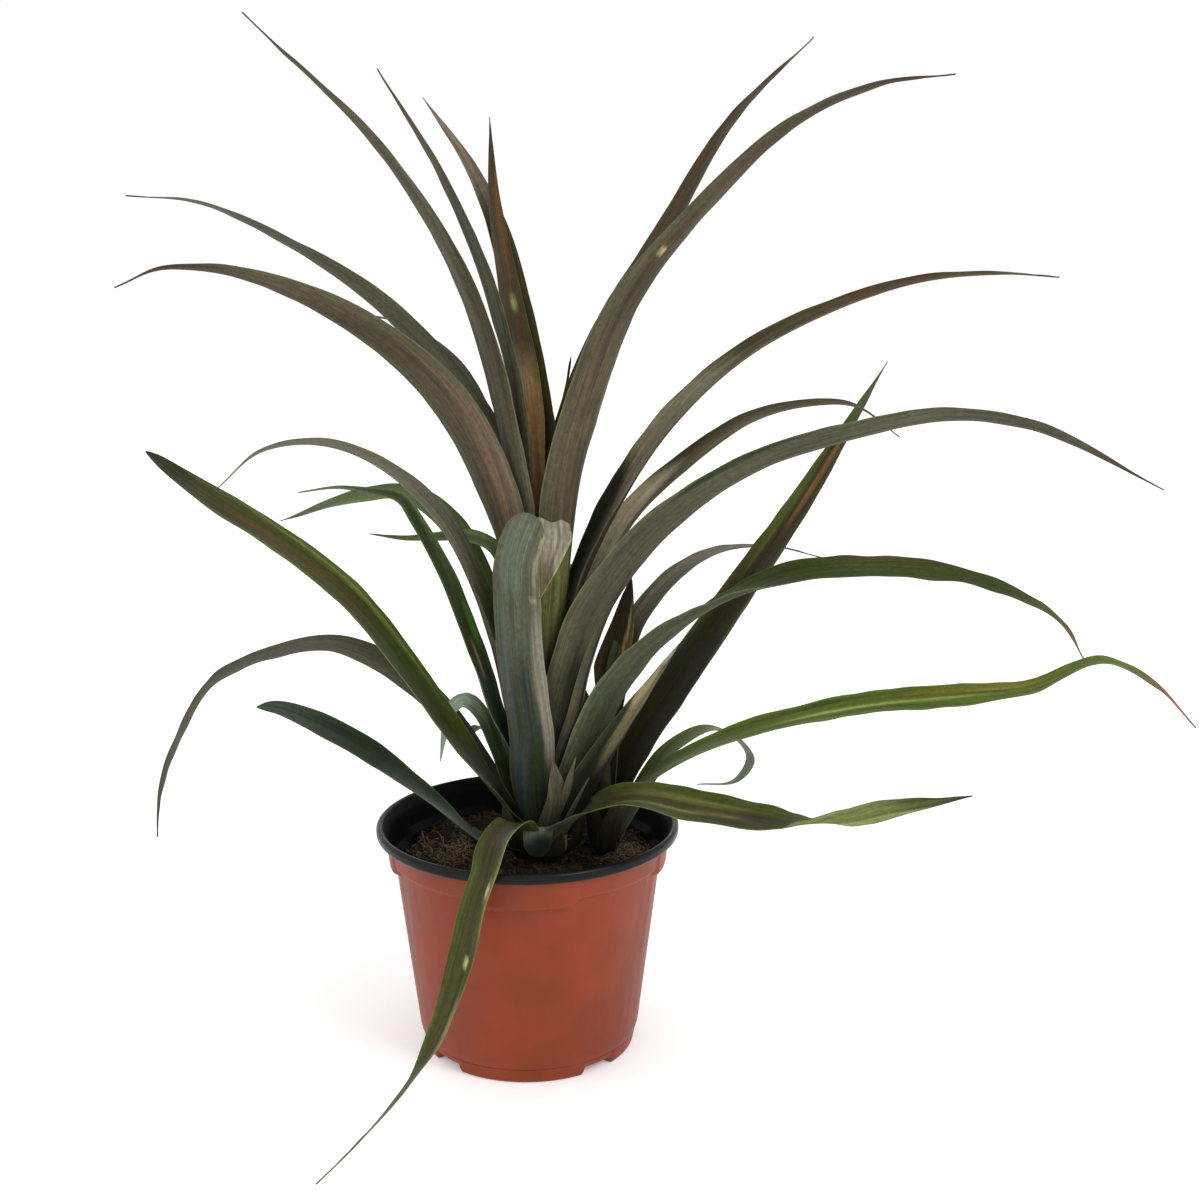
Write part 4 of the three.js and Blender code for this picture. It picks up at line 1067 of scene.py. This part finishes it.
def dress_soil():
    """Bark, grit and fibres on the potting mix, with tangles of coir left and right of the plant."""
    bark = crumb_material("bark", (20, 15, 10), (74, 56, 38), 160)
    grit = crumb_material("grit", (120, 116, 104), (190, 186, 174), 200)
    dark_fibre = crumb_material("dark_fibre", (30, 24, 16), (70, 54, 38), 300)
    pale_fibre = crumb_material("pale_fibre", (84, 66, 46), (150, 126, 98), 300)
    chips("bark_chips", 1500, (1, 6), 0.3, bark, 11)
    chips("grit_specks", 60, (0.6, 1.4), 0.8, grit, 12)
    fibres("dark_fibres", 420, (0.12, 0.35), 2.5, dark_fibre, 13)
    fibres("coir_left", 190, (0.12, 0.3), 5, pale_fibre, 14, heap=(-44, -6, 11))
    fibres("coir_right", 130, (0.1, 0.25), 4, pale_fibre, 15, heap=(58, -10, 9))


def stems():
    """The stems, with the ridges of old leaf scars."""
    tissue = crumb_material("stem_tissue", (24, 25, 12), (44, 44, 24), 120)
    for name, (x, y, profile) in STEMS.items():
        heights, radii = zip(*profile)
        levels = np.arange(heights[0], heights[-1], STEM_STEP)
        points = [(x, y, heights[0])]
        for z in levels:
            scar = SCAR_RIDGE * max(0.0, math.sin(z * SCAR_RATE)) ** 3
            radius = np.interp(z, heights, radii) - STEM_INSET + scar
            points += circle(radius, z, STEM_SIDES, x, y)
        points.append((x, y, heights[-1] + radii[-1] * 0.8))
        faces = closed_faces(len(levels), STEM_SIDES, flipped=True)
        piece = make_object(name + "_stem_core", points, faces, [tissue])
        mount(piece, "stem", name + "_stem")


# ---- Floor, light and camera


def stage():
    """A plain white floor."""
    mesh = bpy.data.meshes.new("floor")
    corners = [(FLOOR * x, FLOOR * y, 0) for x, y in ((-1, -1), (1, -1), (1, 1), (-1, 1))]
    mesh.from_pydata(corners, [], [(0, 1, 2, 3)])
    floor = bpy.data.objects.new("floor", mesh)
    bpy.context.scene.collection.objects.link(floor)
    white = bpy.data.materials.new("floor_white")
    shader, _, _ = nodes_of(white)
    shader.inputs["Base Color"].default_value = (0.92, 0.92, 0.92, 1)
    shader.inputs["Roughness"].default_value = 0.8
    shader.inputs["Emission Color"].default_value = (1, 1, 1, 1)
    shader.inputs["Emission Strength"].default_value = 0.2
    mesh.materials.append(white)


def area_light(name, place, target, size, power):
    data = bpy.data.lights.new(name, "AREA")
    data.size = size
    data.energy = power
    light = bpy.data.objects.new(name, data)
    light.location = place
    light.rotation_euler = (Vector(target) - Vector(place)).to_track_quat("-Z", "Y").to_euler()
    bpy.context.scene.collection.objects.link(light)


def lights():
    """White surroundings, with a key light from the right and a fill light from the left."""
    world = bpy.data.worlds.new("studio")
    bpy.context.scene.world = world
    world.use_nodes = True
    background = world.node_tree.nodes["Background"]
    background.inputs["Color"].default_value = (1, 1, 1, 1)
    background.inputs["Strength"].default_value = 1.0
    area_light("key", (1.1, -1.0, 1.5), (0, 0, 0.25), 0.7, 14)
    area_light("fill", (-1.4, -0.6, 1.1), (0, 0, 0.25), 1.0, 3)


def camera():
    """The photo's viewpoint."""
    data = bpy.data.cameras.new("camera")
    data.sensor_width = 36
    data.lens = 54
    eye = bpy.data.objects.new("camera", data)
    eye.location = (0.0407, -0.962, 0.478)
    eye.rotation_euler = (math.radians(77.12), 0, 0)
    bpy.context.scene.collection.objects.link(eye)
    bpy.context.scene.camera = eye
    bpy.context.scene.view_settings.view_transform = "Standard"


camera()
lights()
stage()
pot()
soil()
dress_soil()
stems()
for number, leaf in enumerate(LEAVES):
    blade(leaf, number)
torn_flap()
